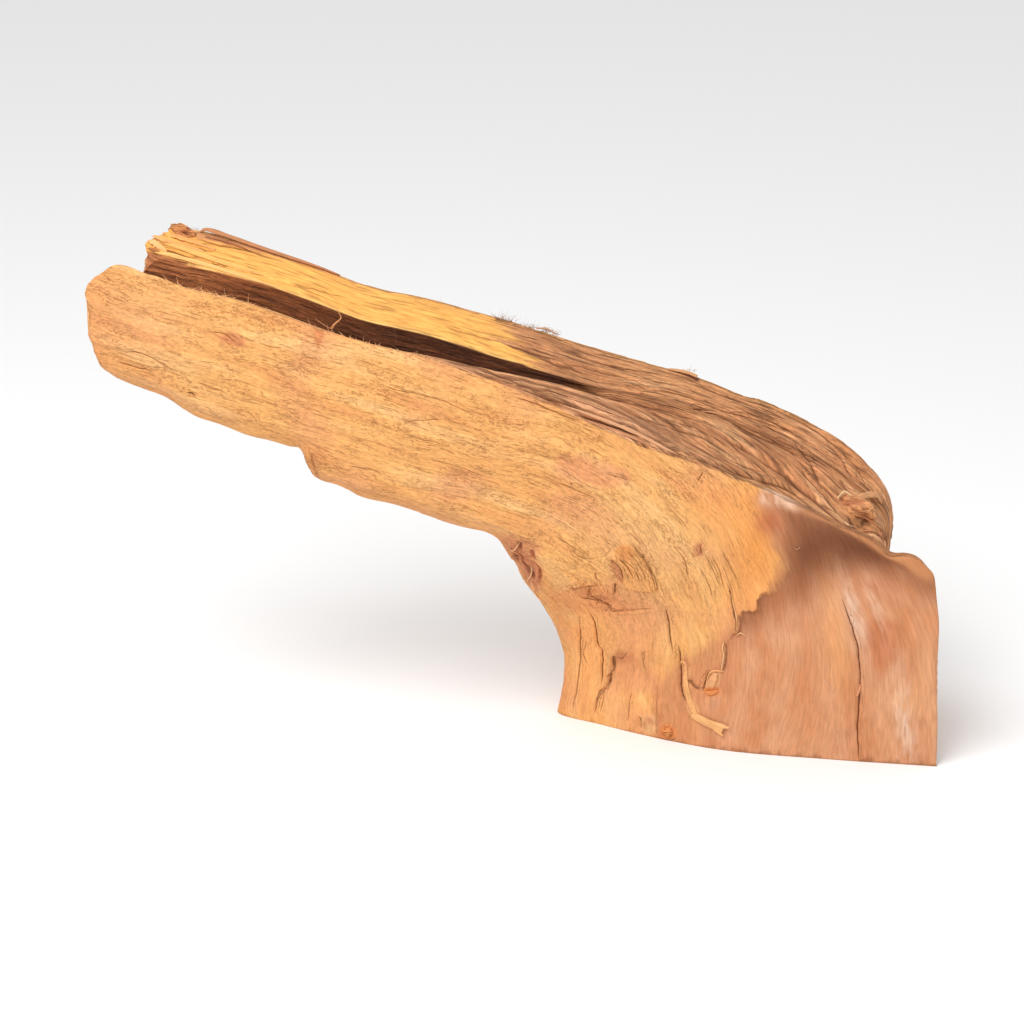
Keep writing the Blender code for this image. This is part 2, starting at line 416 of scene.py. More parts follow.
ragged_edge = 0.1 + 0.05 * noise(points / (9, 3, 3), 1)
outer = np.where(whole[:, 2] == 0, 1, ease(ragged_edge - through, -0.03, 0.03))
on_top = 1 - outer
front = outer * ease(0.5 - around, 0.0, 0.06)
fibre = np.where(outer[:, None] > 0.5, outer_grain(), split_grain())

# Over the foot's bare skin the fibres fan out downwards: on the right they come down from the left, and on
# the left they run off to the left.
fan_right = 0.15 * (np.hypot(650 - pixel_y, 40) + 650 - pixel_y) * ease(pixel_x, 780, 860)
fan_left = 0.12 * (np.hypot(pixel_y - 680, 40) + pixel_y - 680)
fan_left = fan_left * ease(pixel_x, 700, 780) * ease(850 - pixel_x, 0, 70)
fibre[:, 1] += MM_PER_PIXEL * front * (fan_right + fan_left)
bare = front * ease(pixel_x, 690, 770) * ease(pixel_y, 480, 540)
sway = 1 - 0.7 * np.maximum(on_top, bare)
fibre[:, 1] += sway * (2.0 * noise(points / (38, 20, 16), 3) + 0.7 * noise(points / (12, 7, 6), 5))
fibre[:, 2] += (1 - np.maximum(on_top, bare)) * 1.2 * noise(points / (38, 20, 16), 4)


# The marks on the front face, where the photograph shows them: drying cracks, ledges where a layer of wood
# has torn away, and zones roughened by knots.
DARK_LINE_RANGE = 5
NO_DARK_LINE = (9.0, 0.0, 0.3)


def in_pairs(numbers):
    """The points of a line that is given as one row of numbers, each point's two after one another."""
    return np.reshape(numbers, (-1, 2))


def smoothed(line):
    """A smooth curve through the points of a line, with three steps between each two of them."""
    knots = np.arange(len(line))
    return smooth_curve(knots, np.array(line, float), np.linspace(0, len(line) - 1, 3 * len(line) - 2))


def beside_line(line, mask, margin):
    """For the points whose mask is above 0 and whose pixel is within the margin of the line: their numbers,
    their distance to it in pixels (positive on the right hand of someone who walks it) and how far along
    it they are, from 0 to 1."""
    line = np.array(line, float)
    low, high = line.min(0) - margin, line.max(0) + margin
    near = np.flatnonzero((mask > 0.02) & ((pixels > low) & (pixels < high)).all(1))
    best = np.full(len(near), np.inf)
    side, share = np.ones(len(near)), np.zeros(len(near))
    lengths = np.linalg.norm(np.diff(line, axis=0), axis=1)
    starts = np.concatenate([[0], np.cumsum(lengths)])
    for start, end, length, before in zip(line, line[1:], lengths, starts):
        run = (end - start) / length
        offset = pixels[near] - start
        ahead = np.clip(offset @ run, 0, length)
        gap = np.linalg.norm(offset - ahead[:, None] * run, axis=1)
        closer = gap < best
        best = np.where(closer, gap, best)
        side = np.where(closer, np.sign(run[0] * offset[:, 1] - run[1] * offset[:, 0]), side)
        share = np.where(closer, (before + ahead) / starts[-1], share)
    return near, best * side, share


def draw_dark_line(near, gap, strength, half_width):
    """Keeps, for the material, the nearest dark line's signed distance and half width in millimetres and its
    strength, at the points that are within range of it. The dark lines are those of the cracks and the
    painted shadow lines at the foot of torn ledges."""
    closer = (np.abs(gap) < DARK_LINE_RANGE) & (np.abs(gap) * MM_PER_PIXEL < np.abs(crack_and_ledge_shadow[near, 0]))
    crack_and_ledge_shadow[near[closer]] = np.stack([
        gap[closer] * MM_PER_PIXEL, strength[closer], np.full(closer.sum(), half_width * MM_PER_PIXEL),
    ], 1)


def carve(line, depth, half_width, mask):
    """A crack: its depth in millimetres falls as a bell curve from the line and to nothing at its ends."""
    near, gap, share = beside_line(smoothed(line), mask, 4 * half_width + 4)
    taper = np.clip(5 * np.minimum(share, 1 - share), 0, 1) ** 0.7 * mask[near]
    gap = gap + 0.7 * noise(points[near] / 4, 21)
    relief[near] -= depth * np.exp(-(gap / (half_width * (0.5 + 0.5 * taper))) ** 2) * taper
    draw_dark_line(near, gap, np.minimum(1, taper * (0.35 + 0.5 * depth)), 0.65 * half_width)


def tear(line, drop, reach, mask):
    """A torn ledge: on the line's right hand the wood drops at once and comes back over the reach in pixels,
    and its left hand curls up a little. A painted shadow line darkens the foot of the drop."""
    near, gap, share = beside_line(line, mask, 3 * reach)
    taper = np.clip(6 * np.minimum(share, 1 - share), 0, 1) * mask[near]
    gap = gap + 0.8 * noise(points[near] / 3, 22)
    low = ease(gap, -0.5, 0.9) * np.exp(-np.maximum(gap, 0) / reach)
    high = np.exp(-np.maximum(-gap, 0) / 5) * (gap < 0.2)
    relief[near] += drop * taper * (0.4 * high - low)
    draw_dark_line(near, gap - 0.6, taper * min(0.7, 0.45 * drop + 0.1), 0.7)


def within(outline, mask, blur, ragged):
    """1 inside a closed outline in the photograph and 0 outside it, eased over the blur to either side, with
    an edge that is ragged along the fibres by so many pixels."""
    closed = smoothed([*outline, outline[0]])
    near, gap, _ = beside_line(closed, mask, 3 * blur + 2 * ragged)
    x, y = pixels[near].T
    crossings = sum(
        ((y0 > y) != (y1 > y)) & (x < x0 + (x1 - x0) * (y - y0) / (y1 - y0 + 1e-9))
        for (x0, y0), (x1, y1) in zip(closed, closed[1:])
    )
    depth = np.abs(gap) * np.where(crossings % 2, 1, -1) + ragged * noise(fibre[near] / (9, 1.6, 1.6), 23)
    inside = np.zeros(len(points))
    inside[near] = ease(depth / blur, -1, 1) * mask[near]
    return inside


# The lower edge of the torn wood beside the split: above it the front's top has come away in long splinters.
TORN_EDGE = ((383, 343), (416, 353), (466, 370), (499, 383), (530, 396), (560, 409), (592, 425), (640, 446),
             (675, 457), (720, 472), (745, 484))
torn_edge = np.interp(pixel_x, *np.array(TORN_EDGE).T) + 1.5 * noise(fibre / (9, 3, 3), 24)
splintered = front * ease(torn_edge - pixel_y, -0.8, 0.8)
splintered = splintered * ease(pixel_x, 383, 430) * ease(748 - pixel_x, 0, 12)
torn_top = np.maximum(on_top, splintered)

relief = np.zeros(len(points))
crack_and_ledge_shadow = np.tile(NO_DARK_LINE, (len(points), 1))

# Each crack has its depth in millimetres, its half width in pixels and the pixels that it passes, and each
# torn ledge its drop in millimetres, its reach in pixels and its pixels.
FRONT_CRACKS = (
    (1.4, 1.1, 588, 611, 594, 623, 597, 645, 602, 652, 602, 676, 601, 686),
    (1.0, 1.0, 580, 614, 579, 642, 580, 661, 577, 686, 574, 702, 572, 714),
    (1.2, 1.4, 616, 583, 615, 589, 615, 596),
    (1.8, 1.6, 613, 656, 613, 664, 613, 672),
    (1.8, 1.6, 609, 673, 609, 679, 608, 685),
    (0.9, 0.9, 604, 687, 599, 693, 596, 702, 594, 716),
    (0.5, 0.8, 608, 684, 604, 690, 603, 700, 600, 714),
    (0.5, 0.8, 642, 650, 643, 662, 646, 672),
    (0.9, 1.0, 687, 679, 694, 687, 701, 691),
    (0.6, 0.9, 635, 550, 644, 559, 651, 573, 656, 590),
    (0.5, 0.8, 712, 556, 719, 570, 724, 588),
    (0.4, 0.7, 698, 566, 707, 580, 713, 600),
    (1.0, 1.2, 611, 561, 619, 568, 624, 580),
    (0.9, 1.1, 618, 557, 628, 568, 634, 580),
    (0.6, 0.8, 622, 558, 634, 568, 641, 583),
    (0.5, 0.7, 627, 549, 641, 566, 647, 584),
    (1.1, 1.1, 666, 608, 669, 623, 670, 637, 673, 654),
    (1.6, 1.4, 679, 645, 680, 662, 681, 690, 687, 704),
    (1.8, 1.1, 842, 596, 846, 611, 851, 625, 856, 641, 859, 655, 860, 683, 859, 699, 858, 716, 857, 727,
     858, 744, 859, 764),
    (0.8, 1.0, 568, 590, 581, 588, 598, 586),
    (0.7, 1.0, 595, 573, 597, 581),
    (0.8, 1.0, 577, 592, 581, 598, 590, 600, 600, 602, 609, 607, 613, 612, 625, 612),
    (0.6, 0.9, 588, 590, 589, 598),
    (0.5, 0.9, 700, 545, 702, 556),
    (0.4, 0.7, 628, 532, 635, 538, 641, 544),
    (0.5, 0.8, 381, 386, 401, 391, 419, 394, 449, 403, 479, 418),
    (0.5, 0.8, 542, 476, 553, 481, 578, 491, 598, 500),
    (0.8, 1.0, 512, 396, 536, 404, 560, 414, 585, 424),
    (0.9, 1.2, 640, 716, 641, 728),
    (0.8, 1.2, 661, 738, 669, 741, 676, 738),
    (1.2, 1.6, 702, 692, 705, 681, 711, 671),
    (0.8, 1.0, 703, 471, 701, 477, 698, 481),
    (0.4, 0.8, 400, 426, 412, 421, 428, 420, 446, 419),
    (0.4, 0.8, 405, 437, 430, 441, 452, 448),
    (0.4, 0.8, 424, 458, 448, 464, 470, 471, 492, 480),
    (0.4, 0.8, 350, 466, 372, 470, 384, 476),
    (0.6, 1.0, 606, 474, 618, 477, 629, 481),
    (0.4, 0.7, 668, 508, 678, 517, 688, 530),
    (0.7, 1.0, 124, 352, 135, 352, 150, 357, 162, 364, 174, 371),
    (0.7, 1.0, 117, 362, 135, 368, 150, 371),
    (0.6, 1.0, 198, 383, 212, 389, 224, 392),
    (0.5, 0.9, 207, 332, 222, 333, 229, 337, 238, 345),
    (0.4, 0.8, 258, 342, 270, 347, 286, 348),
    (1.0, 1.6, 188, 393, 195, 397),
    (0.5, 0.8, 722, 551, 730, 566, 737, 580),
    (0.4, 0.8, 704, 552, 712, 568, 722, 590),
    (0.5, 0.8, 682, 555, 686, 565, 688, 578),
    (0.4, 0.8, 568, 548, 580, 557, 592, 563),
    (0.4, 0.7, 552, 535, 575, 549, 590, 558),
    (0.4, 0.8, 587, 640, 583, 655, 590, 668),
    (0.6, 1.0, 606, 686, 598, 700, 594, 714),
    (0.4, 0.8, 631, 690, 629, 706, 628, 722),
    (0.4, 0.8, 645, 650, 644, 663),
)
FRONT_TEARS = (
    (1.1, 10, 657, 594, 655, 580, 648, 566, 639, 553, 630, 543),
    (1.4, 12, 736, 636, 735, 620, 732, 606, 730, 593, 727, 580),
    (1.2, 14, 603, 690, 608, 684, 609, 674, 613, 671, 613, 656),
    (0.8, 8, 628, 652, 622, 661, 614, 658),
    (0.8, 10, 658, 609, 636, 611, 619, 613, 610, 609, 591, 598, 577, 592),
    (0.9, 6, 571, 591, 580, 587, 598, 585),
    (1.2, 8, 722, 672, 725, 662, 726, 650, 724, 642),
    (0.5, 16, 656, 738, 656, 716, 656, 690),
    (0.5, 8, 616, 545, 606, 557, 590, 560, 575, 558),
    (0.8, 8, 700, 691, 694, 687, 687, 680),
    (0.8, 8, 318, 478, 312, 464, 308, 452),
    (0.8, 8, 520, 539, 531, 543, 541, 548),
)
for depth, half_width, *line in FRONT_CRACKS:
    carve(in_pairs(line), depth, half_width, front)
for drop, reach, *line in FRONT_TEARS:
    tear(in_pairs(line), drop, reach, front)

FRONT_ROUGH = (
    ((521, 560), (9, 22), -35, 1.5),
    ((538, 574), (5, 12), -15, 0.7),
    ((600, 596), (38, 8), 14, 1.0),
    ((560, 606), (16, 9), 40, 0.7),
    ((231, 340), (16, 7), 15, 0.7),
    ((320, 334), (4, 11), 0, 0.9),
    ((700, 547), (5, 8), 0, 0.9),
    ((667, 733), (9, 5), 0, 1.3),
    ((649, 722), (9, 8), 0, 1.2),
    ((620, 658), (9, 6), 0, 1.0),
    ((618, 575), (9, 14), -10, 0.5),
    ((312, 462), (9, 12), 0, 0.8),
    ((108, 300), (26, 40), 0, 0.3),
)
rough = np.zeros(len(points))
for centre, reach, tilt, strength in FRONT_ROUGH:
    rough = np.maximum(rough, strength * patch(centre, reach, tilt) * front)


# The split's own surfaces: fibres torn apart lengthwise, brown and weathered, with long grooves that close
# in on the knot at the right.
TOP_CRACKS = (
    (1.4, 1.8, 556, 380, 574, 385, 594, 391, 640, 403, 662, 408, 694, 418, 716, 426),
    (0.9, 1.4, 446, 366, 470, 371, 499, 381, 530, 393, 560, 405),
    (1.0, 1.6, 487, 370, 505, 376, 530, 385, 552, 393),
    (1.8, 2.2, 562, 400, 584, 407, 600, 413, 621, 420, 632, 424),
    (1.6, 2.0, 630, 425, 646, 432, 662, 439, 672, 446, 682, 451),
    (1.3, 1.8, 574, 415, 594, 421, 608, 426, 624, 431, 640, 437),
    (1.0, 1.4, 553, 408, 576, 419, 600, 430, 640, 447, 675, 458, 700, 465),
    (0.8, 1.4, 630, 412, 655, 421, 680, 430, 712, 440),
    (1.0, 1.6, 688, 452, 705, 460, 730, 470, 752, 480),
    (1.8, 1.8, 732, 423, 755, 433, 779, 443, 800, 456),
    (1.1, 1.3, 733, 405, 766, 417, 792, 430, 815, 446),
    (2.0, 2.0, 740, 444, 753, 452, 766, 461, 782, 470, 793, 480, 816, 498, 838, 514),
    (1.0, 1.3, 699, 439, 718, 450, 736, 461, 765, 472),
    (1.2, 1.6, 756, 478, 775, 482, 790, 489, 810, 500),
    (1.6, 1.6, 803, 471, 815, 484, 826, 496),
    (1.0, 1.3, 790, 452, 806, 466, 830, 490, 842, 504),
    (0.6, 1.2, 560, 350, 600, 362, 640, 374, 668, 386),
    (0.7, 1.2, 690, 378, 720, 393, 750, 404, 790, 420),
    (0.7, 1.2, 770, 405, 810, 425, 845, 452, 868, 478),
    (1.0, 1.4, 628, 386, 642, 392),
    (0.8, 1.1, 651, 412, 674, 421, 698, 429),
    (0.9, 1.1, 716, 462, 735, 470, 753, 477, 790, 489),
    (1.2, 1.2, 725, 437, 740, 446, 755, 455),
    (0.8, 1.0, 707, 407, 735, 413, 762, 420, 808, 437),
    (0.9, 1.1, 757, 421, 780, 432, 803, 445, 836, 469),
    (0.9, 1.1, 790, 436, 808, 458, 822, 482, 840, 505),
    (0.7, 1.0, 826, 440, 842, 458, 854, 478),
    (0.6, 1.0, 842, 448, 857, 466, 868, 487),
    (1.0, 1.2, 690, 408, 702, 409, 713, 413),
    (0.6, 1.0, 604, 372, 630, 379, 652, 388),
    (0.6, 1.0, 655, 389, 690, 397, 722, 406),
    (0.6, 1.0, 560, 362, 590, 368, 612, 376),
    (1.0, 1.2, 840, 480, 850, 490, 856, 498),
    (1.3, 1.6, 868, 522, 880, 532, 889, 542),
    (1.3, 1.6, 852, 524, 866, 530, 880, 542),
    (0.8, 1.3, 196, 238, 215, 243, 251, 250, 275, 259),
    (0.9, 1.2, 153, 246, 175, 252, 205, 262, 230, 268),
    (0.6, 1.0, 165, 240, 190, 246, 215, 252),
    (0.5, 0.9, 215, 262, 240, 268, 270, 278),
    (0.3, 0.8, 290, 283, 330, 293, 352, 299),
    (0.5, 1.0, 443, 326, 470, 334, 500, 341),
    (0.6, 1.2, 500, 341, 540, 356, 572, 371),
)
for depth, half_width, *line in TOP_CRACKS:
    carve(in_pairs(line), 1.3 * depth, 1.3 * half_width, torn_top)
rough = np.maximum(rough, 1.2 * on_top * patch((861, 521), (14, 8), 30))


# The wood's colours. They follow the fibres in streaks, and change over the piece as the photograph shows.
def paint(red, green, blue):
    """The colour of wood that a picture shows with these three numbers, where 255 is white: three quarters of
    their light, as the studio is a third brighter than the picture's white."""
    share = np.array([red, green, blue]) / 255
    return 0.75 * np.where(share > 0.04045, ((share + 0.055) / 1.055) ** 2.4, share / 12.92)


def lay(colour, amount):
    """Blends the colour over the tint by the amount at each point."""
    tint[:] += (paint(*colour) - tint) * np.clip(amount, 0, 1)[:, None]


def lay_patches(mask, patches):
    """Lays soft patches over the mask, each with a colour, amount, centre, two reaches and perhaps a tilt."""
    for colour, amount, *place in patches:
        lay(colour, amount * mask * patch(*place))


SAPWOOD = (248, 180, 108)
PALE_STREAK = (254, 199, 133)
DEEP_STREAK = (232, 153, 93)
PINK_WOOD = (232, 156, 110)
ROSY_SKIN = (219, 152, 110)
ROSY_LIGHT = (232, 172, 130)
SHADED_SKIN = (118, 64, 38)
AMBER_WOOD = (252, 166, 86)
GOLDEN_WOOD = (264, 190, 98)
TORN_WOOD = (222, 155, 103)
TORN_DARK = (164, 104, 70)
TORN_PALE = (240, 186, 136)
SPLIT_BROWN = (168, 98, 54)
GROOVE_SHADE = (72, 36, 18)
RED_STAIN = (202, 116, 72)
WORN_PALE = (238, 202, 176)
BARK_BROWN = (184, 120, 80)
END_GRAIN = (226, 172, 116)
RING_WIDTH = 2.6

broad = grain_noise(70, 8, 31, 2)
narrow = grain_noise(30, 2.2, 35, 2)
fine = grain_noise(14, 1.3, 45, 2)
cloud = noise(points / (38, 30, 26), 38)
tint = np.repeat(paint(*SAPWOOD)[None], len(points), 0)
lay(PALE_STREAK, 0.6 * ease(broad, 0.0, 0.7))
lay(DEEP_STREAK, 0.5 * ease(-broad, 0.05, 0.8))
lay(PINK_WOOD, 0.55 * ease(cloud, -0.1, 0.6))

low_side = ease(around, 0.30, 0.48) * ease(0.62 - along, 0, 0.12)
lay(PINK_WOOD, 0.65 * front * low_side * ease(broad + cloud, -0.8, 0.4))
lay(DEEP_STREAK, 0.5 * front * ease(0.05 - along, 0, 0.05))
SOFT_PATCHES = (
    (PALE_STREAK, 0.55, (655, 545), (70, 50), 20),
    (AMBER_WOOD, 0.85, (757, 548), (26, 60), 4),
    (AMBER_WOOD, 0.5, (722, 505), (40, 26), 20),
    ((238, 166, 98), 0.45, (500, 452), (60, 26), 20),
    ((234, 168, 120), 0.4, (140, 322), (56, 40), 18),
    ((264, 184, 112), 0.7, (588, 650), (22, 60)),
    ((250, 176, 116), 0.6, (640, 640), (30, 40)),
)
lay_patches(front, SOFT_PATCHES)

ROSY_BORDER = ((758, 480), (757, 506), (768, 530), (783, 559), (780, 582), (763, 596), (755, 612), (742, 614),
               (737, 632), (728, 642), (724, 671), (706, 690), (694, 712), (690, 735), (684, 770))
rosy = np.zeros(len(points))
near, gap, share = beside_line(ROSY_BORDER, front, 400)
ragged = 3 * noise(fibre[near] / (7, 2.2, 2.2), 41) + 1.5 * noise(fibre[near] / (4, 1, 1), 42)
ragged += 5 * noise(points[near] / 7, 42)
blur = 1.5 + 9 * ease(0.42 - share, 0, 0.1) + 16 * ease(share, 0.55, 0.8)
rosy[near] = ease((-gap + ragged) / blur, -1, 1)
lay(ROSY_SKIN, 0.95 * rosy * front)
mottle = noise(fibre / (26, 11, 11), 43) + 0.6 * noise(points / 7, 44)
mottle += 0.4 * noise(fibre / (6, 1.6, 1.6), 45)
lay(ROSY_LIGHT, 0.55 * rosy * ease(mottle, -0.1, 0.7))
lay((210, 134, 84), 0.6 * rosy * ease(-mottle, 0.0, 0.7))
lay((214, 142, 90), 0.5 * rosy * patch((806, 706), (18, 60), 6) * ease(mottle, -0.5, 0.3))

SHADE_LINE = ((742, 628), (758, 606), (786, 580), (806, 556), (830, 544), (862, 553), (890, 566), (930, 586))
near, gap, share = beside_line(SHADE_LINE, front, 140)
shade = np.zeros(len(points))
shade[near] = np.exp(-(gap / (15 + 17 * np.sin(np.pi * np.clip(1.35 * share, 0, 1)))) ** 2)
lit = 0.55 * ease(812 - pixel_x, 0, 40) + 0.4 * ease(pixel_x, 872, 900)
lay(SHADED_SKIN, 0.9 * shade * rosy * (1 - lit))
SHADE_PATCHES = (
    ((178, 108, 66), 0.6, (770, 606), (30, 14), -40),
    (SHADED_SKIN, 0.5, (845, 543), (34, 14), 25),
    ((132, 76, 48), 0.7, (800, 522), (30, 20), 35),
    ((126, 72, 42), 0.6, (832, 562), (26, 16), 25),
    ((200, 132, 98), 0.6, (884, 590), (26, 14), 20),
)
lay_patches(rosy, SHADE_PATCHES)
lay(RED_STAIN, 0.85 * front * patch((768, 523), (13, 15), 20))

# Patches with an edge, where a layer has lifted, torn off or been stained: a colour, its amount, the height
# in millimetres, how soft and how ragged the edge is in pixels, and the pixels of the outline.
FRONT_PATCHES = (
    ((232, 152, 108), 0.6, -0.2, 5, 6, 560, 478, 556, 462, 566, 455, 600, 461, 626, 472, 630, 482, 612, 489,
     585, 485),
    ((250, 176, 104), 0.7, 1.1, 1.5, 1.2, 617, 546, 630, 544, 636, 550, 643, 558, 649, 568, 653, 579,
     656, 590, 640, 591, 625, 588, 622, 579, 618, 568, 613, 558),
    ((232, 150, 82), 0.7, 0, 2, 1.5, 617, 546, 624, 544, 632, 547, 634, 554, 627, 560, 618, 555),
    ((216, 142, 98), 0.7, -0.7, 1, 0.5, 611, 560, 616, 562, 623, 572, 623, 582, 618, 580, 613, 570),
    ((240, 150, 94), 0.45, -0.3, 7, 6, 548, 598, 568, 587, 598, 584, 612, 600, 627, 611, 604, 614, 570, 611),
    ((230, 154, 108), 0.55, -0.5, 7, 7, 613, 657, 628, 652, 645, 668, 657, 676, 657, 690, 640, 691,
     625, 697, 610, 694, 603, 690, 609, 674),
    ((212, 140, 97), 0.8, 0, 7, 6, 657, 682, 678, 664, 702, 650, 726, 632, 740, 640, 720, 690, 694, 712,
     688, 746, 657, 742),
    ((216, 138, 100), 0.6, -0.4, 6, 7, 500, 538, 521, 539, 541, 547, 536, 561, 541, 572, 540, 584, 532, 592,
     500, 560),
    ((200, 118, 80), 0.35, -0.3, 5, 5, 522, 556, 534, 560, 538, 574, 534, 588, 524, 576),
    ((116, 54, 24), 0.9, -1.2, 1.2, 1, 517, 542, 521, 544, 521, 551, 517, 550),
    ((106, 50, 24), 0.85, -1.0, 1.2, 1, 511, 552, 516, 553, 518, 561, 513, 561),
    ((168, 82, 50), 0.85, -0.8, 1.2, 1, 530, 551, 533, 552, 535, 558, 531, 557),
    ((124, 58, 28), 0.9, -1.0, 1.2, 1, 522, 564, 527, 566, 533, 574, 533, 579, 527, 574),
    ((184, 94, 48), 0.7, -0.6, 1.0, 1, 538, 565, 541, 570, 541, 580, 538, 584, 539, 574),
    ((222, 150, 108), 0.8, -0.4, 1.5, 0.4, 695, 546, 701, 544, 703, 551, 702, 557, 697, 556, 694, 551),
    ((232, 148, 92), 0.7, -0.5, 1.2, 1.5, 313, 324, 323, 326, 324, 336, 319, 347, 315, 338),
    ((246, 182, 124), 0.7, 0.5, 1.2, 0.8, 684, 664, 690, 668, 689, 684, 694, 700, 700, 715, 690, 716,
     686, 700, 683, 680),
    ((198, 116, 72), 0.75, 0, 6, 5, 866, 626, 880, 622, 901, 624, 902, 650, 892, 668, 876, 670, 866, 654),
    ((238, 174, 120), 0.8, 0.4, 1, 0.5, 711, 671, 720, 671, 718, 687, 705, 689, 708, 679),
    ((222, 130, 68), 0.9, -0.2, 1, 0.8, 703, 688, 718, 687, 717, 695, 707, 696),
    ((236, 146, 82), 0.8, 0.2, 1, 0.8, 661, 727, 668, 724, 676, 729, 677, 737, 668, 740, 660, 736),
    ((252, 194, 136), 0.8, 0.5, 1, 1.5, 641, 716, 655, 715, 656, 734, 643, 731),
    ((214, 128, 88), 0.6, -0.2, 2, 3, 220, 337, 232, 330, 246, 340, 240, 347, 226, 345),
)
for colour, amount, height, blur, ragged, *outline in FRONT_PATCHES:
    inside = within(in_pairs(outline), front, blur, ragged)
    lay(colour, amount * inside)
    relief += height * inside

lay((196, 116, 78), 0.6 * np.clip(rough, 0, 1) * ease(fine + 0.5 * narrow, -0.6, 0.3))
scratches = noise(fibre / (9, 0.8, 0.8), 46) + 0.5 * noise(fibre / (5, 0.5, 0.5), 47)
WORN_STREAKS = (
    (0.95, -0.6, 0.2, (855, 614), (7, 34), -16),
    (0.6, -0.1, 0.25, (876, 608), (6, 26), -14),
    (0.95, -0.5, 0.2, (903, 714), (10, 48), -8),
)
for amount, start, end, *place in WORN_STREAKS:
    lay(WORN_PALE, amount * front * patch(*place) * ease(scratches, start, end))
lay((242, 172, 112), 0.6 * front * patch((838, 650), (12, 56), -6))
lay((236, 164, 104), 0.5 * rosy * patch((906, 690), (20, 70)) * ease(mottle, -0.4, 0.4))
lay((196, 124, 82), 0.6 * front * patch((850, 716), (13, 46)) * ease(narrow, -0.5, 0.5))

# The split's skin in three parts: the front wall's top, the back wall's top and the walls inside the split.
strip = np.maximum(on_top * (whole[:, 1] == 0), splintered)
bevel = on_top * (whole[:, 1] == AROUND)
wall = on_top * (through == 1)
brown = np.maximum.reduce([
    strip * ease(pixel_x + 12 * narrow, 380, 440),
    wall * ease(pixel_x, 560, 600),
    bevel * ease(pixel_x + 36 * broad + 20 * narrow - 55 * through, 468, 500),
    on_top * (along > 0.9),
])
lay(TORN_WOOD, brown)
lay(TORN_DARK, 0.6 * brown * ease(-narrow - 0.5 * broad, -0.1, 0.6))
lay(TORN_PALE, 0.6 * brown * ease(narrow, 0.1, 0.5))
brown_top = brown * on_top
TORN_PATCHES = (
    ((180, 114, 74), 0.4, (778, 452), (70, 28), 30),
    ((232, 164, 112), 0.5, (730, 398), (70, 16), 20),
    ((216, 148, 104), 0.45, (822, 460), (36, 20), 40),
    ((216, 146, 96), 0.4, (640, 398), (44, 8), 18),
)
# Painted shade in the crevices of the hollow under the knot lump, beside the ridge.
KNOT_HOLLOW_SHADE = (
    ((110, 60, 36), 0.7, (853, 525), (10, 4), 30),
    ((88, 46, 28), 0.85, (868, 518), (7, 3.5), -15),
)
lay_patches(brown_top, TORN_PATCHES)
lay_patches(brown, KNOT_HOLLOW_SHADE)
lay((176, 110, 72), 0.3 * brown_top * patch((640, 412), (80, 22), 22))
bands = grain_noise(160, 3.2, 52, 2)
lay((238, 176, 130), 0.8 * brown * strip * ease(bands, 0.0, 0.4) * ease(720 - pixel_x, 0, 60))
lay((138, 84, 54), 0.75 * brown * strip * ease(-bands, 0.05, 0.45) * ease(760 - pixel_x, 0, 60))
lay((174, 126, 92), 0.4 * brown * patch((664, 432), (34, 9), 27))
lay((190, 126, 84), 0.6 * brown * bevel * ease(640 - pixel_x, 0, 60))
golden = bevel * (1 - brown)
lay(GOLDEN_WOOD, 0.92 * golden)
lay((238, 172, 92), 0.55 * golden * ease(-narrow, 0, 0.6))
# A painted highlight along the arris, where the bevel meets the inner wall.
lay((255, 212, 132), 0.6 * golden * ease(through, 0.9, 0.99))
skin_edge = 0.22 * ease(430 - pixel_x, 0, 230) + 0.04
lay((214, 148, 102), 0.9 * golden * ease(skin_edge + 0.06 * narrow - through, -0.015, 0.015))
under_arris = ease(pixel_y - 252.5 - 0.29 * (pixel_x - 152), -0.7, 0.7) * ease(190 - pixel_x, 0, 6)
under_arris *= golden
inner_wall = np.maximum(wall * (1 - brown) * ease(around, 0.5, 0.56), under_arris)
lay(SPLIT_BROWN, inner_wall)
lay((188, 116, 70), 0.8 * under_arris)
# Painted shade on the split's inner wall: darker deeper down and further right, where the groove narrows. Its
# open left end gets lighter fibres of painted light.
lay(GROOVE_SHADE, 0.9 * inner_wall * ease(pixel_x + 240 * (0.9 - around), 190, 400) * (1 - under_arris))
lay((206, 132, 84), 0.55 * inner_wall * ease(narrow + 0.15, 0.0, 0.4) * ease(290 - pixel_x, 0, 130))
lay((120, 68, 40), 0.6 * inner_wall * (1 - under_arris) * ease(0.1 - narrow, 0.0, 0.4))
# Painted shade at the bottom of the groove.
lay(GROOVE_SHADE, 0.9 * wall * (1 - brown) * ease(0.56 - around, 0, 0.06))
lay((226, 150, 96), 0.65 * on_top * ease(pixel_x, 700, 780) * patch((862, 455), (60, 22), 52))
lay((214, 150, 100), 0.6 * on_top * patch((640, 366), (120, 10), 18))
RIDGE_BAND = ((757, 492), (800, 503), (836, 516), (862, 531), (888, 550), (910, 560), (930, 572))
near, gap, share = beside_line(RIDGE_BAND, np.maximum(front, strip), 20)
band = np.zeros(len(points))
band[near] = np.exp(-((gap - 1) / 9) ** 4) * ease(share, 0, 0.05)
lay((208, 140, 92), 0.8 * band)
lay((248, 206, 176), 0.9 * band * ease(812 - pixel_x, 0, 30) * ease(scratches, -0.6, 0.2))

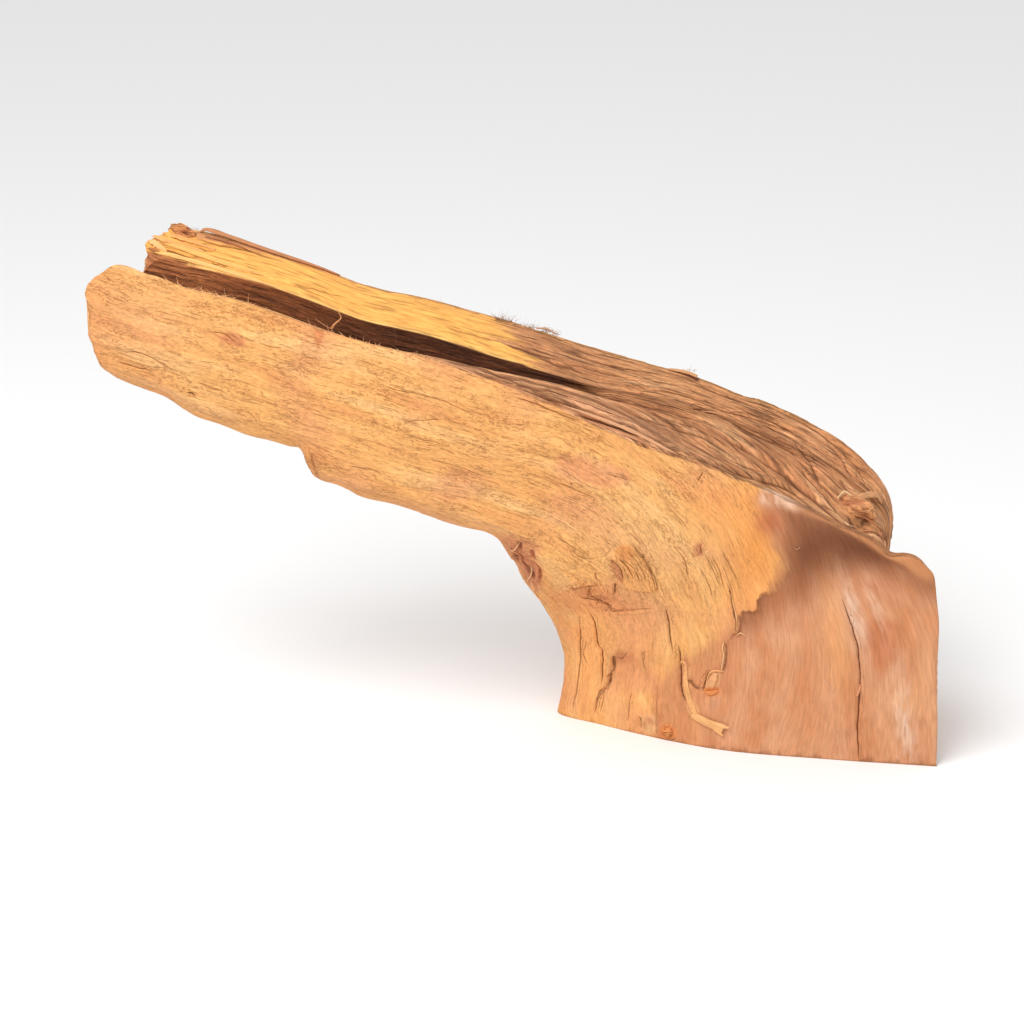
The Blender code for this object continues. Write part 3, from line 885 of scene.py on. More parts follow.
# What the photograph doesn't show: the weathered back, the foot's face and the limb's end.
behind = outer * ease(around, 0.5, 0.62)
lay((222, 160, 106), 0.8 * behind)
lay(BARK_BROWN, 0.7 * behind * ease(broad + 0.8 * cloud, -0.1, 0.5) * ease(0.985 - around, 0, 0.03))
lay((240, 186, 124), 0.6 * behind * ease(narrow, 0.1, 0.6))
inside_face = (around > 0) & (around < 1) & (through > 0) & (through < 1)
end_face = ((whole[:, 0] == 0) & (around > 0.56) | (whole[:, 0] == ALONG)) & inside_face
foot_face, broken_end = end_face * (along > 0.5), end_face * (along < 0.5)
from_pith = np.hypot(points[:, 0] * (along > 0.5) - points[:, 2] + 190, points[:, 1] - 20)
rings = np.sin(2 * np.pi * from_pith / RING_WIDTH)
lay(END_GRAIN, foot_face)
lay((196, 136, 86), 0.5 * foot_face * ease(rings + 1.5 * cloud, 0.1, 1.0))
lay((214, 148, 98), broken_end)
lay((160, 100, 64), 0.6 * broken_end * ease(noise(points / (9, 2.4, 1.4), 48), 0.0, 0.5))
lay((236, 176, 122), 0.6 * broken_end * ease(noise(points / (9, 2.0, 1.1), 49), 0.1, 0.5))

# The relief: torn layers along the grain, the hollow under the ridge over the rosy skin, and rough wood.
torn = np.clip(0.8 * brown + 0.7 * inner_wall + 0.35 * golden + 0.3 * broken_end, 0, 1)
torn *= 1 - 0.9 * ease(pixel_x, 898, 912)
relief += (0.35 * grain_noise(100, 26, 51) + 0.2 * broad + 0.1 * narrow) * (1 - 0.75 * rosy)
relief += 0.08 * fine * (1 - 0.8 * rosy)


def ledges(length, width, seed, steps, edge):
    """Heights in whole steps with sharp edges along the fibres: the eased round-down of a slow noise."""
    levels = steps * grain_noise(length, width, seed, 2)
    below = np.floor(levels)
    return below + ease(levels - below, 0.5 - edge, 0.5 + edge)


relief += 0.20 * outer * (1 - rosy) * ledges(60, 7, 61, 2.2, 0.12)
torn_relief = 0.25 * ledges(60, 6, 63, 2.5, 0.15) + 0.15 * narrow + 0.2 * fine - 0.3
relief += torn * on_top * (1 - band) * torn_relief
relief -= 2.8 * shade * rosy * (1 - band)
relief += 0.7 * band
relief -= 0.9 * rosy * np.exp(-((pixel_x - 846 - 0.04 * (pixel_y - 740)) / 11) ** 2) * ease(pixel_y, 690, 735)
relief += rosy * patch((842, 640), (10, 46), -12)
relief += rosy * (0.35 * noise(points / 16, 67) + 0.1 * noise(fibre / (5, 1.6, 1.6), 68))
relief += rough * (0.9 * noise(points / 3.5, 65) + 0.5 * noise(points / 1.6, 66))
relief -= 5.0 * on_top * patch((862, 523), (11, 6), 20)
relief -= 0.8 * splintered * (1 - 0.8 * band)
relief *= 1 - 0.85 * beside_edge(1, 1, 1.6) * (1 - lip)
relief *= 1 - 0.85 * ease(pixel_x, 900, 918) * ease(625 - pixel_y, 0, 25)
tint *= (1 + 0.12 * np.clip(fine, -1, 1) * (1 - 0.8 * rosy))[:, None]
tint *= (1 + 0.12 * rosy * np.clip(scratches, -1, 1))[:, None]

facing = normals_of(points)
relief *= (whole[:, 0] < ALONG) * ease(points[:, 2], 0, 4)
points += facing * relief[:, None]

# How strong the material's pores and fine hair lines are.
low_down = ease(pixel_y, 580, 640)
foot_side = ease(pixel_x, 640, 760) * ease(pixel_y, 470, 540)
pores = np.clip(1 - 0.95 * rosy - 0.5 * golden - 0.7 * torn_top, 0, 1) * (1 - 0.75 * low_down)
pores *= 1 - 0.65 * front * foot_side
hair = np.clip(0.2 + 0.8 * rosy + 0.6 * golden + 0.5 * front * np.maximum(low_down, foot_side), 0, 1)
finish = np.stack([pores, torn, hair], 1)

TRIANGLES = 196000
mesh = bpy.data.meshes.new("full_net")
mesh.vertices.add(len(points))
mesh.vertices.foreach_set("co", (points / 1000).astype(np.float32).ravel())
mesh.loops.add(squares.size)
mesh.loops.foreach_set("vertex_index", squares.astype(np.int32).ravel())
mesh.polygons.add(len(squares))
mesh.polygons.foreach_set("loop_start", np.arange(0, squares.size, 4, dtype=np.int32))
mesh.update()


def keep_on_points(mesh, tint, fibre, crack_and_ledge_shadow, finish):
    """Stores what the material reads at each point: its colour, its place along and across the fibres, the
    nearest dark line (those of cracks and the painted shadows of torn ledges), and how strong the pores, the
    torn fibres and the fine hair lines are."""
    colours = mesh.attributes.new("tint", "FLOAT_COLOR", "POINT")
    colours.data.foreach_set("color", np.insert(tint, 3, 1, axis=1).astype(np.float32).ravel())
    for name, values in (("fibre", fibre), ("crack_and_ledge_shadow", crack_and_ledge_shadow), ("finish", finish)):
        attribute = mesh.attributes.new(name, "FLOAT_VECTOR", "POINT")
        attribute.data.foreach_set("vector", values.astype(np.float32).ravel())


keep_on_points(mesh, tint, fibre, crack_and_ledge_shadow, finish)
full = add_object("full_net", mesh)
thinned = full.modifiers.new("thinned", "DECIMATE")
thinned.ratio = TRIANGLES / (2 * len(squares))
thinned.use_collapse_triangulate = True
bpy.context.view_layer.update()
mesh = bpy.data.meshes.new_from_object(full.evaluated_get(bpy.context.evaluated_depsgraph_get()))
bpy.data.objects.remove(full)
mesh.shade_smooth()
wood = add_object("driftwood_surface", mesh)
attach(wood, "root")
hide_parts("driftwood")


def add_node(tree, kind, inputs, **settings):
    """Adds a shader node with its settings, and links or sets each input by its name or number."""
    node = tree.nodes.new(kind)
    for name, value in settings.items():
        setattr(node, name, value)
    for name, value in inputs.items():
        if isinstance(value, bpy.types.NodeSocket):
            tree.links.new(value, node.inputs[name])
        else:
            node.inputs[name].default_value = value
    return node


def stored(tree, name):
    """The three numbers of one of the mesh's stored vectors."""
    vector = add_node(tree, "ShaderNodeAttribute", {}, attribute_name=name).outputs["Vector"]
    return add_node(tree, "ShaderNodeSeparateXYZ", {0: vector}).outputs


def maths(tree, operation, first, second):
    """The sum, product or other combination of two numbers."""
    return add_node(tree, "ShaderNodeMath", {0: first, 1: second}, operation=operation).outputs[0]


def fibre_pattern(tree, place, length, width, detail, twist=0.0):
    """Noise drawn out along the fibres, with features of that length and width in millimetres."""
    scaled = add_node(tree, "ShaderNodeMapping", {
        "Vector": place, "Scale": (1 / length, 1 / width, 1 / width)}, vector_type="POINT")
    return add_node(tree, "ShaderNodeTexNoise", {
        "Vector": scaled.outputs["Vector"], "Scale": 1.0, "Detail": detail, "Distortion": twist,
    }).outputs["Fac"]


def between(tree, value, low, high, low_to=0.0, high_to=1.0):
    """Eases a value that runs from low to high into one that runs between the other two."""
    return add_node(tree, "ShaderNodeMapRange", {
        "Value": value, "From Min": low, "From Max": high, "To Min": low_to, "To Max": high_to,
    }, interpolation_type="SMOOTHSTEP").outputs["Result"]


def bare_wood():
    """Dry sapwood: the stored tint, lighter and darker fibres, short dark pore lines, torn fibres with dark
    gaps between them, fine hair lines, and the dark lines of the cracks and the painted shadow lines of torn
    ledges, where their stored distance is nearly nothing."""
    material = bpy.data.materials.new("bare_wood")
    material.use_nodes = True
    tree = material.node_tree
    shader = tree.nodes["Principled BSDF"]
    tint = add_node(tree, "ShaderNodeAttribute", {}, attribute_name="tint").outputs["Color"]
    place = add_node(tree, "ShaderNodeAttribute", {}, attribute_name="fibre").outputs["Vector"]
    gap, strength, half_width = stored(tree, "crack_and_ledge_shadow")
    pore_share, torn_share, hair_share = stored(tree, "finish")
    matted_share = maths(tree, "SUBTRACT", 1.0, hair_share)

    fibres = fibre_pattern(tree, place, 14, 1.1, 3)
    matted = fibre_pattern(tree, place, 2.6, 0.8, 3, 0.6)
    clumps = between(tree, fibre_pattern(tree, place, 22, 9, 2), 0.3, 0.7, -0.14, 0.06)
    short = maths(tree, "ADD", fibre_pattern(tree, place, 2.1, 0.7, 1, 1.3), clumps)
    long = fibre_pattern(tree, place, 15, 0.7, 2, 0.3)
    pores = maths(tree, "MAXIMUM", between(tree, short, 0.59, 0.73), between(tree, long, 0.63, 0.70))
    pores = maths(tree, "MULTIPLY", pores, pore_share)
    torn = fibre_pattern(tree, place, 18, 0.9, 4, 0.3)
    gaps = maths(tree, "MULTIPLY", between(tree, torn, 0.58, 0.66), torn_share)
    threads = fibre_pattern(tree, place, 8, 0.5, 2, 0.6)
    hair = fibre_pattern(tree, place, 8, 0.9, 4, 0.5)
    line = between(tree, maths(tree, "ABSOLUTE", gap, 0.0), 0.0, half_width, 1.0, 0.0)
    line = maths(tree, "MULTIPLY", line, strength)

    light = 1.0
    for pattern, share, reach, low, high in (
        (fibres, matted_share, 0.2, 0.92, 1.08),
        (hair, hair_share, 0.2, 0.90, 1.10),
        (torn, torn_share, 0.2, 1.30, 0.72),
        (threads, torn_share, 0.15, 0.76, 1.24),
        (matted, matted_share, 0.2, 0.82, 1.18),
    ):
        swing = maths(tree, "MULTIPLY", maths(tree, "SUBTRACT", pattern, 0.5), share)
        light = maths(tree, "MULTIPLY", light, between(tree, swing, -reach, reach, low, high))
    colour = add_node(tree, "ShaderNodeVectorMath", {0: tint, "Scale": light}, operation="SCALE").outputs[0]
    for mark, most, dark in (
        (pores, 0.45, (0.45, 0.125, 0.024, 1)),
        (gaps, 0.7, (0.13, 0.045, 0.02, 1)),
        (line, 0.85, (0.15, 0.05, 0.018, 1)),
    ):
        blend = {0: maths(tree, "MULTIPLY", mark, most), 6: colour, 7: dark}
        colour = add_node(tree, "ShaderNodeMix", blend, data_type="RGBA").outputs[2]
    tree.links.new(colour, shader.inputs["Base Color"])

    raised = maths(tree, "MULTIPLY", maths(tree, "SUBTRACT", fibres, 0.5), matted_share)
    height = maths(tree, "MULTIPLY", raised, 0.8)
    for operation, pattern, share in (
        ("ADD", matted, matted_share),
        ("SUBTRACT", pores, 0.6),
        ("SUBTRACT", gaps, 1.0),
        ("ADD", threads, torn_share),
        ("SUBTRACT", line, 1.0),
    ):
        height = maths(tree, operation, height, maths(tree, "MULTIPLY", pattern, share))
    bump = add_node(tree, "ShaderNodeBump", {"Height": height, "Strength": 0.9, "Distance": 0.0007})
    tree.links.new(bump.outputs["Normal"], shader.inputs["Normal"])
    shader.inputs["Roughness"].default_value = 0.8
    shader.inputs["Specular IOR Level"].default_value = 0.25
    return material


BARE_WOOD = bare_wood()
mesh.materials.append(BARE_WOOD)


# Strips torn from the front face that still hang on it: a curled one with a forked end, a peeled flake with a
# dark pocket behind it, slivers at the edge of the rosy skin, and fibres in the hollow of the crook.
def place_on_wood(seen, mask, lift):
    """The nearest points of the wood's surface to some pixels of the photograph, of two alike the nearer to
    the eye, lifted off it along its outward direction by so many millimetres."""
    choice = np.flatnonzero((mask > 0.5) & (facing @ FORWARD < 0.2))
    depth = 0.05 * points[choice, 1]
    found = [choice[np.argmin(((pixels[choice] - one) ** 2).sum(1) + depth)] for one in np.array(seen, float)]
    offset = (np.array(seen, float) - pixels[found]) * MM_PER_PIXEL
    shift = offset[:, :1] * (1, 0, 0) - offset[:, 1:] * UPWARD
    return points[found] + shift + np.reshape(lift, (-1, 1)) * facing[found], facing[found]


def along_curve(knots, steps):
    """A smooth curve through the knots, at even steps of their numbers."""
    knots = np.array(knots, float)
    return smooth_curve(np.arange(len(knots)), knots, np.linspace(0, len(knots) - 1, steps))


def tube_walls(number):
    """The squares between the rings of closed tubes, whose points have numbers by tube, ring and place."""
    after = np.roll(number, -1, axis=2)
    walls = np.stack([number[:, :-1], number[:, 1:], after[:, 1:], after[:, :-1]], -1)
    return walls.reshape(-1, 4).tolist()


def strips(lines, flat, half_width, half_thickness, sides):
    """Closed strips, each an oval carried along its own line of points. The oval's long half lies across the
    line and the flat direction, and its short half across the line and the long half."""
    run = np.gradient(lines, axis=1)
    across = np.cross(run, flat)
    across /= np.linalg.norm(across, axis=2, keepdims=True)
    out = np.cross(across, run)
    out /= np.linalg.norm(out, axis=2, keepdims=True)
    turn = 2 * np.pi * np.arange(sides) / sides
    wide = (half_width[..., None] * np.cos(turn))[..., None] * across[:, :, None]
    thick = (half_thickness[..., None] * np.sin(turn))[..., None] * out[:, :, None]
    places = lines[:, :, None] + wide + thick
    number = np.arange(places[..., 0].size).reshape(places.shape[:3])
    return places.reshape(-1, 3), [*tube_walls(number), *number[:, 0].tolist(), *number[:, -1, ::-1].tolist()]


def add_wood(name, places, faces, tint, fibre, finish):
    """Adds a small piece of the same wood, from points in millimetres and their stored colour, place along
    the fibres and finish."""
    mesh = bpy.data.meshes.new(name)
    mesh.from_pydata((places / 1000).tolist(), [], faces)
    keep_on_points(mesh, tint, fibre, np.tile(NO_DARK_LINE, (len(places), 1)), finish)
    mesh.shade_smooth()
    mesh.materials.append(BARE_WOOD)
    piece = add_object(name, mesh)
    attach(piece, "root")


PALE_FIBRE = (244, 180, 120)
STRIP_SPACING = 7


def add_strips(name, bands, mask, steps=28, sides=10):
    """Adds one piece of wood made of some strips. Each has a colour, its half thickness in millimetres, and
    its points: two numbers for the pixel, its height off the wood and its half width there in millimetres."""
    lines, flats, widths, thicknesses, colours = [], [], [], [], []
    share = np.linspace(0, 1, steps)
    for colour, half_thickness, *passed in bands:
        seen, (lifts, half_widths) = np.array(passed)[:, :2], np.array(passed)[:, 2:].T
        centres, flat = place_on_wood(seen, mask, np.zeros(len(seen)))
        flat = flat.mean(0)
        lines.append(along_curve(centres + lifts[:, None] * flat, steps))
        flats.append(np.tile(flat, (steps, 1)))
        uneven = 1 + 0.3 * noise(np.stack([share * 9, 0 * share + len(lines), 0 * share], 1), 72)
        widths.append(uneven * np.interp(share, np.linspace(0, 1, len(seen)), half_widths))
        thicknesses.append(half_thickness * np.interp(share, (0, 0.06, 0.94, 1), (0.3, 1, 1, 0.3)))
        colours.append(paint(*colour))
    lines, widths = np.array(lines), np.array(widths)
    places, faces = strips(lines, np.array(flats), widths, np.array(thicknesses), sides)
    run = np.cumsum(np.linalg.norm(np.gradient(lines, axis=1), axis=2), axis=1)[..., None]
    aside = widths[..., None] * np.cos(2 * np.pi * np.arange(sides) / sides)
    aside += STRIP_SPACING * np.arange(len(bands))[:, None, None]
    fibre = np.stack([(run + 0 * aside).ravel(), aside.ravel(), 0 * aside.ravel()], 1)
    tint = np.repeat(colours, steps * sides, axis=0) * (1 + 0.14 * noise(fibre / (6, 0.8, 1), 71))[:, None]
    add_wood(name, places, faces, tint, fibre, np.tile([0.3, 0.0, 0.8], (len(places), 1)))


add_strips("curled_strip", (
    (PALE_FIBRE, 0.25, (681, 665, 0.1, 0.2), (682, 661, 1.2, 0.5), (685, 661, 1.6, 0.6),
     (687, 665, 1.0, 0.6), (686, 672, 0.2, 0.3)),
    ((244, 178, 116), 0.3, (687, 668, 0.1, 0.6), (686, 680, 0.3, 1.3), (688, 692, 0.3, 1.5),
     (691, 704, 0.3, 1.6), (696, 715, 0.4, 1.5)),
    ((246, 184, 122), 0.35, (692, 714, 0.4, 1.6), (701, 719, 0.8, 2.1), (710, 723, 1.1, 2.1),
     (718, 726, 1.4, 2.1), (724, 729, 1.7, 1.9)),
    ((250, 190, 128), 0.35, (716, 723, 1.3, 1.0), (723, 725, 1.6, 1.1), (730, 727, 1.9, 0.5)),
    ((246, 184, 120), 0.35, (712, 726, 1.1, 1.0), (719, 731, 1.4, 1.0), (724, 735, 1.6, 0.4)),
), front)
add_strips("peeled_flake", (
    (PALE_FIBRE, 0.25, (706, 684, 0.2, 0.2), (708, 677, 0.8, 0.4), (711, 672, 1.2, 0.4),
     (716, 670, 1.2, 0.4), (724, 671, 0.9, 0.3)),
    ((246, 192, 138), 0.2, (724, 642, 0.4, 0.2), (723, 647, 0.8, 0.3), (724, 654, 0.6, 0.35),
     (723, 662, 0.6, 0.35), (722, 670, 0.8, 0.25)),
    ((240, 174, 120), 0.25, (716, 672, 0.5, 1.2), (714, 679, 0.5, 1.9), (711, 687, 0.2, 1.1)),
    ((228, 142, 82), 0.4, (705, 692, 0.1, 0.6), (711, 693, 0.4, 1.3), (718, 691, 0.2, 0.8)),
), front)
add_strips("edge_slivers", (
    ((240, 182, 124), 0.25, (731, 592, 0.1, 0.2), (733, 604, 0.5, 0.4), (736, 617, 0.4, 0.4),
     (736, 628, 0.3, 0.3), (737, 637, 0.6, 0.2)),
    ((244, 190, 134), 0.2, (736, 637, 0.4, 0.2), (740, 634, 1.2, 0.35), (745, 637, 0.6, 0.15)),
    (PALE_FIBRE, 0.25, (722, 566, 0.1, 0.2), (725, 574, 0.5, 0.5), (728, 582, 0.5, 0.5),
     (732, 594, 0.2, 0.2)),
    ((222, 154, 100), 0.25, (692, 556, 0.2, 0.2), (697, 553, 0.5, 0.35), (700, 548, 0.2, 0.2)),
    ((248, 206, 154), 0.3, (706, 552, 0.2, 0.4), (708, 551, 0.2, 0.4)),
    (PALE_FIBRE, 0.25, (632, 531, 0.2, 0.2), (636, 536, 0.5, 0.4), (646, 547, 0.1, 0.2)),
    ((228, 156, 112), 0.5, (860, 685, 0.3, 0.5), (859, 690, 0.8, 0.9), (857, 696, 0.3, 0.4)),
    ((232, 178, 138), 0.15, (824, 680, 0.1, 0.15), (829, 686, 0.3, 0.25), (832, 693, 0.1, 0.15)),
    ((206, 150, 112), 0.2, (800, 549, 0.1, 0.15), (797, 551, 0.4, 0.3), (793, 549, 0.1, 0.15)),
), front)


add_strips("elbow_fibres", (
    ((248, 186, 136), 0.25, (509, 545, 0.2, 0.2), (511, 549, 0.9, 0.4), (515, 549, 0.9, 0.4),
     (519, 544, 0.2, 0.2)),
    ((230, 152, 104), 0.3, (510, 551, 0.2, 0.3), (515, 552, 0.6, 0.6), (519, 556, 0.6, 0.6),
     (522, 562, 0.1, 0.2)),
    ((250, 196, 142), 0.25, (526, 565, 0.2, 0.2), (529, 570, 0.8, 0.5), (530, 576, 0.8, 0.4),
     (527, 581, 0.3, 0.2)),
    ((222, 142, 96), 0.3, (518, 557, 0.1, 0.3), (522, 563, 0.6, 0.7), (525, 569, 0.1, 0.3)),
    ((218, 138, 94), 0.3, (534, 562, 0.0, 0.3), (537, 569, 0.4, 0.8), (537, 577, 0.4, 0.8),
     (535, 584, 0.0, 0.3)),
    ((252, 194, 142), 0.3, (530, 583, 0.0, 0.3), (533, 590, 0.3, 0.8), (538, 597, 0.3, 0.7),
     (545, 603, 0.0, 0.2)),
), front)


# The broken end of the back wall: slats of wood split along the grain, with ragged points, a rough dark lump
# on top, and a thin slat of the outer wood along the rim.
add_strips("broken_slats", (
    ((262, 198, 130), 0.5, (148, 241, 0.2, 0.6), (154, 243, 0.6, 1.7), (160, 247, 0.5, 1.6),
     (167, 251, 0.1, 0.5)),
    ((262, 202, 124), 0.35, (156, 252, 0.1, 0.4), (170, 255, 0.3, 1.1), (200, 263, 0.3, 1.3),
     (240, 275, 0.2, 1.1), (280, 288, 0.0, 0.3)),
    ((262, 196, 112), 0.4, (166, 244, 0.1, 0.3), (180, 248, 0.4, 1.3), (204, 256, 0.4, 1.5),
     (240, 267, 0.2, 1.3), (276, 278, 0.0, 0.4)),
    ((252, 184, 112), 0.4, (153, 236, 0.1, 0.6), (162, 239, 0.4, 1.7), (178, 243, 0.4, 1.6),
     (205, 251, 0.0, 0.4)),
    ((190, 118, 70), 0.4, (149, 248, 0.1, 0.3), (154, 250, 0.3, 0.7), (160, 252, 0.1, 0.4)),
    ((248, 180, 108), 0.4, (163, 233, 0.1, 0.5), (174, 236, 0.3, 1.5), (192, 242, 0.3, 1.4),
     (216, 250, 0.0, 0.4)),
    ((208, 142, 98), 0.5, (200, 232, 0.2, 0.5), (208, 231, 0.7, 1.4), (232, 239, 0.8, 1.4),
     (268, 251, 0.7, 1.2), (310, 265, 0.5, 0.8), (340, 275, 0.0, 0.3)),
    ((180, 116, 78), 0.4, (205, 237, 0.2, 0.3), (226, 242, 0.5, 0.7), (252, 250, 0.1, 0.3)),
), on_top)


def lump(centre, reach, turn, depth, seed, rows=40, columns=60):
    """A closed knob: a sphere's rings and poles, roughened by noise, stretched and turned about the line of
    sight."""
    tilt = np.linspace(0, np.pi, rows + 1)[1:-1, None]
    swing = 2 * np.pi * np.arange(columns) / columns
    ball = np.stack([
        np.sin(tilt) * np.cos(swing), np.sin(tilt) * np.sin(swing), np.cos(tilt) + 0 * swing,
    ], -1).reshape(-1, 3)
    ball = np.concatenate([ball, [(0, 0, 1), (0, 0, -1)]])
    rough = 0.5 * noise(ball * 1.3, seed) + 0.3 * noise(ball * (1.5, 4, 4), seed + 1)
    rough += 0.12 * noise(ball * (3, 9, 9), seed + 2)
    sized = ball * (1 + depth * rough)[:, None] * reach
    angle = math.radians(turn)
    spin = np.array([
        [math.cos(angle), 0, -math.sin(angle)], [0, 1, 0], [math.sin(angle), 0, math.cos(angle)]])
    number = np.arange((rows - 1) * columns).reshape(1, rows - 1, columns)
    top, bottom = number.size, number.size + 1
    caps = [(top, a, b) for a, b in zip(number[0, 0].tolist(), np.roll(number[0, 0], -1).tolist())]
    caps += [(bottom, b, a) for a, b in zip(number[0, -1].tolist(), np.roll(number[0, -1], -1).tolist())]
    return centre + sized @ spin, [*tube_walls(number), *caps], rough


def add_lump(name, seen, mask, sink, reach, turn, depth, seed, light, dark):
    """Adds a knob at a pixel of the photograph, sunk into the wood, darker in its hollows."""
    centre, flat = place_on_wood([seen], mask, [-sink])
    places, faces, rough = lump(centre[0], reach, turn, depth, seed)
    share = ease(rough, -0.35, 0.25)[:, None]
    tint = paint(*dark) * (1 - share) + paint(*light) * share
    finish = np.tile([0.3, 0.5, 0.5], (len(places), 1))
    add_wood(name, places, faces, tint, places * (0.5, 1, 1), finish)


# Besides the lump on the broken end there is a small knob at the foot, and a torn lump at the knot where the
# split ends. A few tough fibres cross the hollow under that one.
LUMPS = (
    ("broken_end_lump", (184, 232), on_top, 0.8, (6.8, 3.2, 3.4), 26, 0.5, 81, (226, 150, 92), (140, 72, 42)),
    ("foot_knob", (669, 732), front, 1.3, (3.6, 2.1, 2.7), 10, 0.35, 101, (242, 158, 92), (196, 108, 58)),
    ("knot_lump", (856, 508), on_top, 1.0, (9.5, 6.0, 6.0), 22, 0.45, 91, (240, 168, 112), (190, 116, 78)),
)
for traits in LUMPS:
    add_lump(*traits)
add_strips("knot_fibres", (
    ((246, 200, 150), 0.5, (836, 500, 1.5, 0.3), (840, 497, 3.4, 0.8), (845, 500, 3.6, 0.9),
     (852, 503, 3.0, 0.4)),
    ((234, 170, 118), 0.5, (850, 503, 2.6, 0.6), (860, 499, 3.4, 1.8), (872, 498, 3.0, 1.7),
     (881, 504, 1.2, 0.5)),
    ((238, 190, 146), 0.3, (843, 524, 0.8, 0.2), (848, 528, 1.2, 0.35), (854, 528, 1.2, 0.35),
     (858, 525, 0.8, 0.2)),
    ((206, 144, 98), 0.4, (852, 517, 1.0, 0.3), (862, 523, 1.8, 0.6), (874, 532, 1.4, 0.6),
     (884, 541, 0.5, 0.2)),
    ((190, 124, 82), 0.4, (858, 514, 1.5, 0.3), (868, 520, 2.2, 0.6), (880, 530, 1.6, 0.5),
     (888, 539, 0.5, 0.2)),
    ((176, 108, 76), 0.5, (866, 505, 2.0, 0.4), (868, 512, 3.0, 1.0), (871, 519, 1.0, 0.4)),
), on_top)


# Loose fibres. The ridge along the split is fuzzy with short ones, a long splinter with a bend and a thin one
# stand up from it, and there is fluff and a small chip on the rim.
HAIR_STEPS = 6


def hairs(name, bases, directions, lengths, half_width, curl, colour, seed):
    """Adds one piece of short thin fibres: each runs from its base in its direction for its length, bends
    aside by the curl times the square of the share of its length, and tapers to its tip."""
    random = np.random.default_rng(seed)
    share = np.linspace(0, 1, HAIR_STEPS)[:, None]
    aside = random.normal(size=(len(bases), 1, 3)) * curl
    lines = bases[:, None] + directions[:, None] * share * lengths[:, None, None]
    lines = lines + aside * share ** 2 * lengths[:, None, None]
    widths = half_width * (1.05 - share[:, 0]) * np.ones((len(bases), 1))
    flat = np.tile([0.3, -0.9, 0.2], (len(bases), HAIR_STEPS, 1))
    places, faces = strips(lines, flat, widths, widths, 4)
    tints = paint(*colour) * random.uniform(0.75, 1.1, (len(bases), 1))
    tint = np.repeat(tints, len(places) // len(bases), axis=0)
    add_wood(name, places, faces, tint, places, np.tile([0.0, 0.0, 0.5], (len(places), 1)))


random = np.random.default_rng(12)
edge = np.flatnonzero((whole[:, 1] == 0) & (whole[:, 2] <= 3) & (pixel_x > 168) & (pixel_x < 478))
chosen = edge[np.sort(random.choice(len(edge), 260, replace=False))]
down_limb = np.array([math.cos(LIMB_FALL), 0, -math.sin(LIMB_FALL)])
upwards = np.array([0, -0.2, 1.0])
senses = random.choice([-1, -1, 1], (len(chosen), 1))
lifts = random.uniform(0.05, 0.55, (len(chosen), 1))
lengths = random.uniform(0.6, 2.6, len(chosen)) * (1 + 0.5 * (pixel_x[chosen] < 340))
hairs("ridge_fibres", points[chosen] - 0.2 * facing[chosen], senses * down_limb + lifts * upwards, lengths,
      0.2, 0.5, (254, 192, 134), 13)
ridge_strip = ((whole[:, 1] == 0) & (whole[:, 2] < 12)) * 1.0
splinter = place_on_wood(((331, 328),), ridge_strip, [-0.3])[0][0]
BENT_SPLINTER = ((0, 0), (3, -4), (7, -8), (10, -11), (10, -14), (8, -18), (7, -23))
THIN_SPLINTER = ((0, 0), (-5, -3), (-10, -7), (-15, -11))


def splinter_line(offsets):
    """The line of a splinter from its offsets in pixels to the right and down from its root."""
    offsets = along_curve(offsets, 16) * MM_PER_PIXEL
    return splinter + offsets[:, :1] * (1, 0, 0) - offsets[:, 1:] * (0, -0.2, 1.0)


splinters = np.array([splinter_line(BENT_SPLINTER), splinter_line(THIN_SPLINTER)])
taper = np.linspace(1, 0.35, 16)
places, faces = strips(
    splinters, np.tile([0.2, -0.9, 0.3], (2, 16, 1)), np.outer((0.42, 0.22), taper),
    np.outer((0.3, 0.2), taper), 6)
tint = np.repeat([paint(232, 158, 104), paint(214, 150, 104)], len(places) // 2, axis=0)
add_wood("bent_splinter", places, faces, tint, places, np.tile([0.0, 0.1, 0.5], (len(places), 1)))

RIM_TUFTS = (((501, 319), 36, 2.8), ((507, 321), 30, 2.0), ((531, 327), 44, 1.3), ((546, 331), 44, 1.3),
             ((556, 334), 30, 1.2), ((519, 324), 26, 1.2), ((440, 303), 8, 1.2), ((420, 299), 8, 1.2),
             ((690, 371), 14, 1.4), ((393, 344), 2, 3.6), ((409, 348), 2, 2.2), ((193, 230), 10, 1.2))
rim = np.maximum(on_top, outer * (around > 0.99))
rim = np.maximum(rim, (whole[:, 1] == 0) * 1.0)
bases, lengths = [], []
for seen, count, length in RIM_TUFTS:
    spots = np.array(seen) + random.normal(size=(count, 2)) * (3.0, 0.8)
    bases.append(place_on_wood(spots, rim, -0.2 * np.ones(count))[0])
    lengths.append(length * random.uniform(0.5, 1.3, count))
bases = np.concatenate(bases)
leaning = random.normal(size=(len(bases), 3)) * (0.7, 0.3, 0.15) + (0, 0, 0.9)
hairs("rim_fluff", bases, leaning, np.concatenate(lengths), 0.10, 1.1, (206, 166, 134), 14)
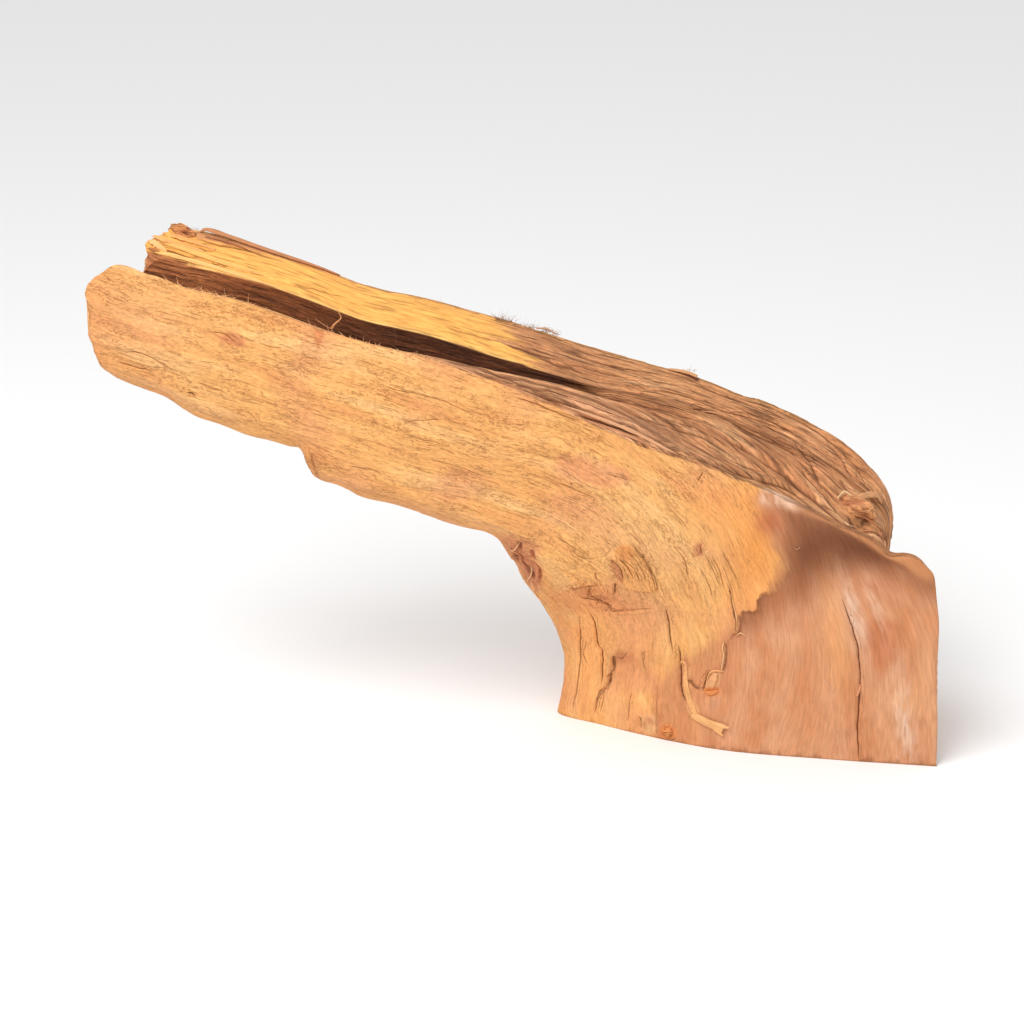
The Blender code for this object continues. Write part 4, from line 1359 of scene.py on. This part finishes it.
add_strips("rim_chip", (
    ((232, 172, 120), 0.5, (668, 369, 0.1, 0.4), (678, 371, 0.5, 1.2), (688, 374, 0.9, 1.5),
     (697, 378, 1.2, 1.3)),
    ((120, 66, 42), 0.4, (680, 373, 0.1, 0.4), (690, 376, 0.4, 1.2), (698, 380, 0.8, 1.1)),
    ((206, 160, 124), 0.4, (536, 328, 0.3, 0.3), (546, 330, 0.9, 0.8), (556, 334, 0.4, 0.3)),
    ((226, 162, 114), 0.3, (628, 387, 0.0, 0.2), (636, 390, 0.5, 0.6), (643, 394, 0.8, 0.2)),
    ((222, 158, 112), 0.3, (702, 410, 0.0, 0.2), (715, 413, 0.3, 0.5), (727, 417, 0.0, 0.2)),
    ((222, 160, 114), 0.3, (728, 411, 0.0, 0.2), (738, 411, 0.4, 0.5), (748, 414, 0.0, 0.2)),
), on_top)
add_strips("ridge_splinters", (
    ((230, 170, 126), 0.35, (560, 404, 0.0, 0.1), (592, 415, 0.3, 0.7), (621, 426, 0.4, 0.9),
     (640, 434, 0.4, 0.8), (664, 448, 0.3, 0.6), (678, 455, 0.0, 0.1)),
    ((224, 164, 122), 0.3, (566, 396, 0.0, 0.1), (584, 402, 0.4, 0.6), (606, 410, 0.3, 0.6),
     (624, 417, 0.0, 0.1)),
    ((212, 146, 104), 0.3, (590, 421, 0.0, 0.1), (612, 429, 0.3, 0.6), (636, 439, 0.3, 0.6),
     (652, 447, 0.0, 0.1)),
    ((222, 160, 116), 0.3, (436, 360, 0.0, 0.1), (460, 367, 0.2, 0.5), (490, 378, 0.3, 0.6),
     (520, 389, 0.2, 0.5), (548, 401, 0.0, 0.1)),
    ((208, 146, 106), 0.3, (664, 441, 0.0, 0.1), (690, 451, 0.3, 0.6), (716, 462, 0.3, 0.6),
     (740, 475, 0.0, 0.1)),
), np.maximum(splintered, (whole[:, 1] == 0) * 1.0))


# The studio: a pale floor, an even white surround and one large soft light above and in front.
floor_mesh = bpy.data.meshes.new("floor")
floor_mesh.from_pydata([(-3, -3, 0), (3, -3, 0), (3, 3, 0), (-3, 3, 0)], [], [(0, 1, 2, 3)])
floor = add_object("floor", floor_mesh)
paper = bpy.data.materials.new("paper")
paper.use_nodes = True
look = paper.node_tree.nodes["Principled BSDF"].inputs
look["Base Color"].default_value = (0.9, 0.9, 0.9, 1)
look["Roughness"].default_value = 0.9
floor_mesh.materials.append(paper)
world = bpy.data.worlds.new("studio")
bpy.context.scene.world = world
world.use_nodes = True
surround = world.node_tree.nodes["Background"].inputs
surround["Color"].default_value = (1, 1, 1, 1)
surround["Strength"].default_value = 0.8
bpy.context.scene.view_settings.view_transform = "Standard"
key = add_object("key", bpy.data.lights.new("key", "AREA"))
key.data.size = 0.9
key.data.energy = 15
key.location = (-0.55, -0.75, 1.15)
key.rotation_euler = (math.radians(38), 0, math.radians(-32))
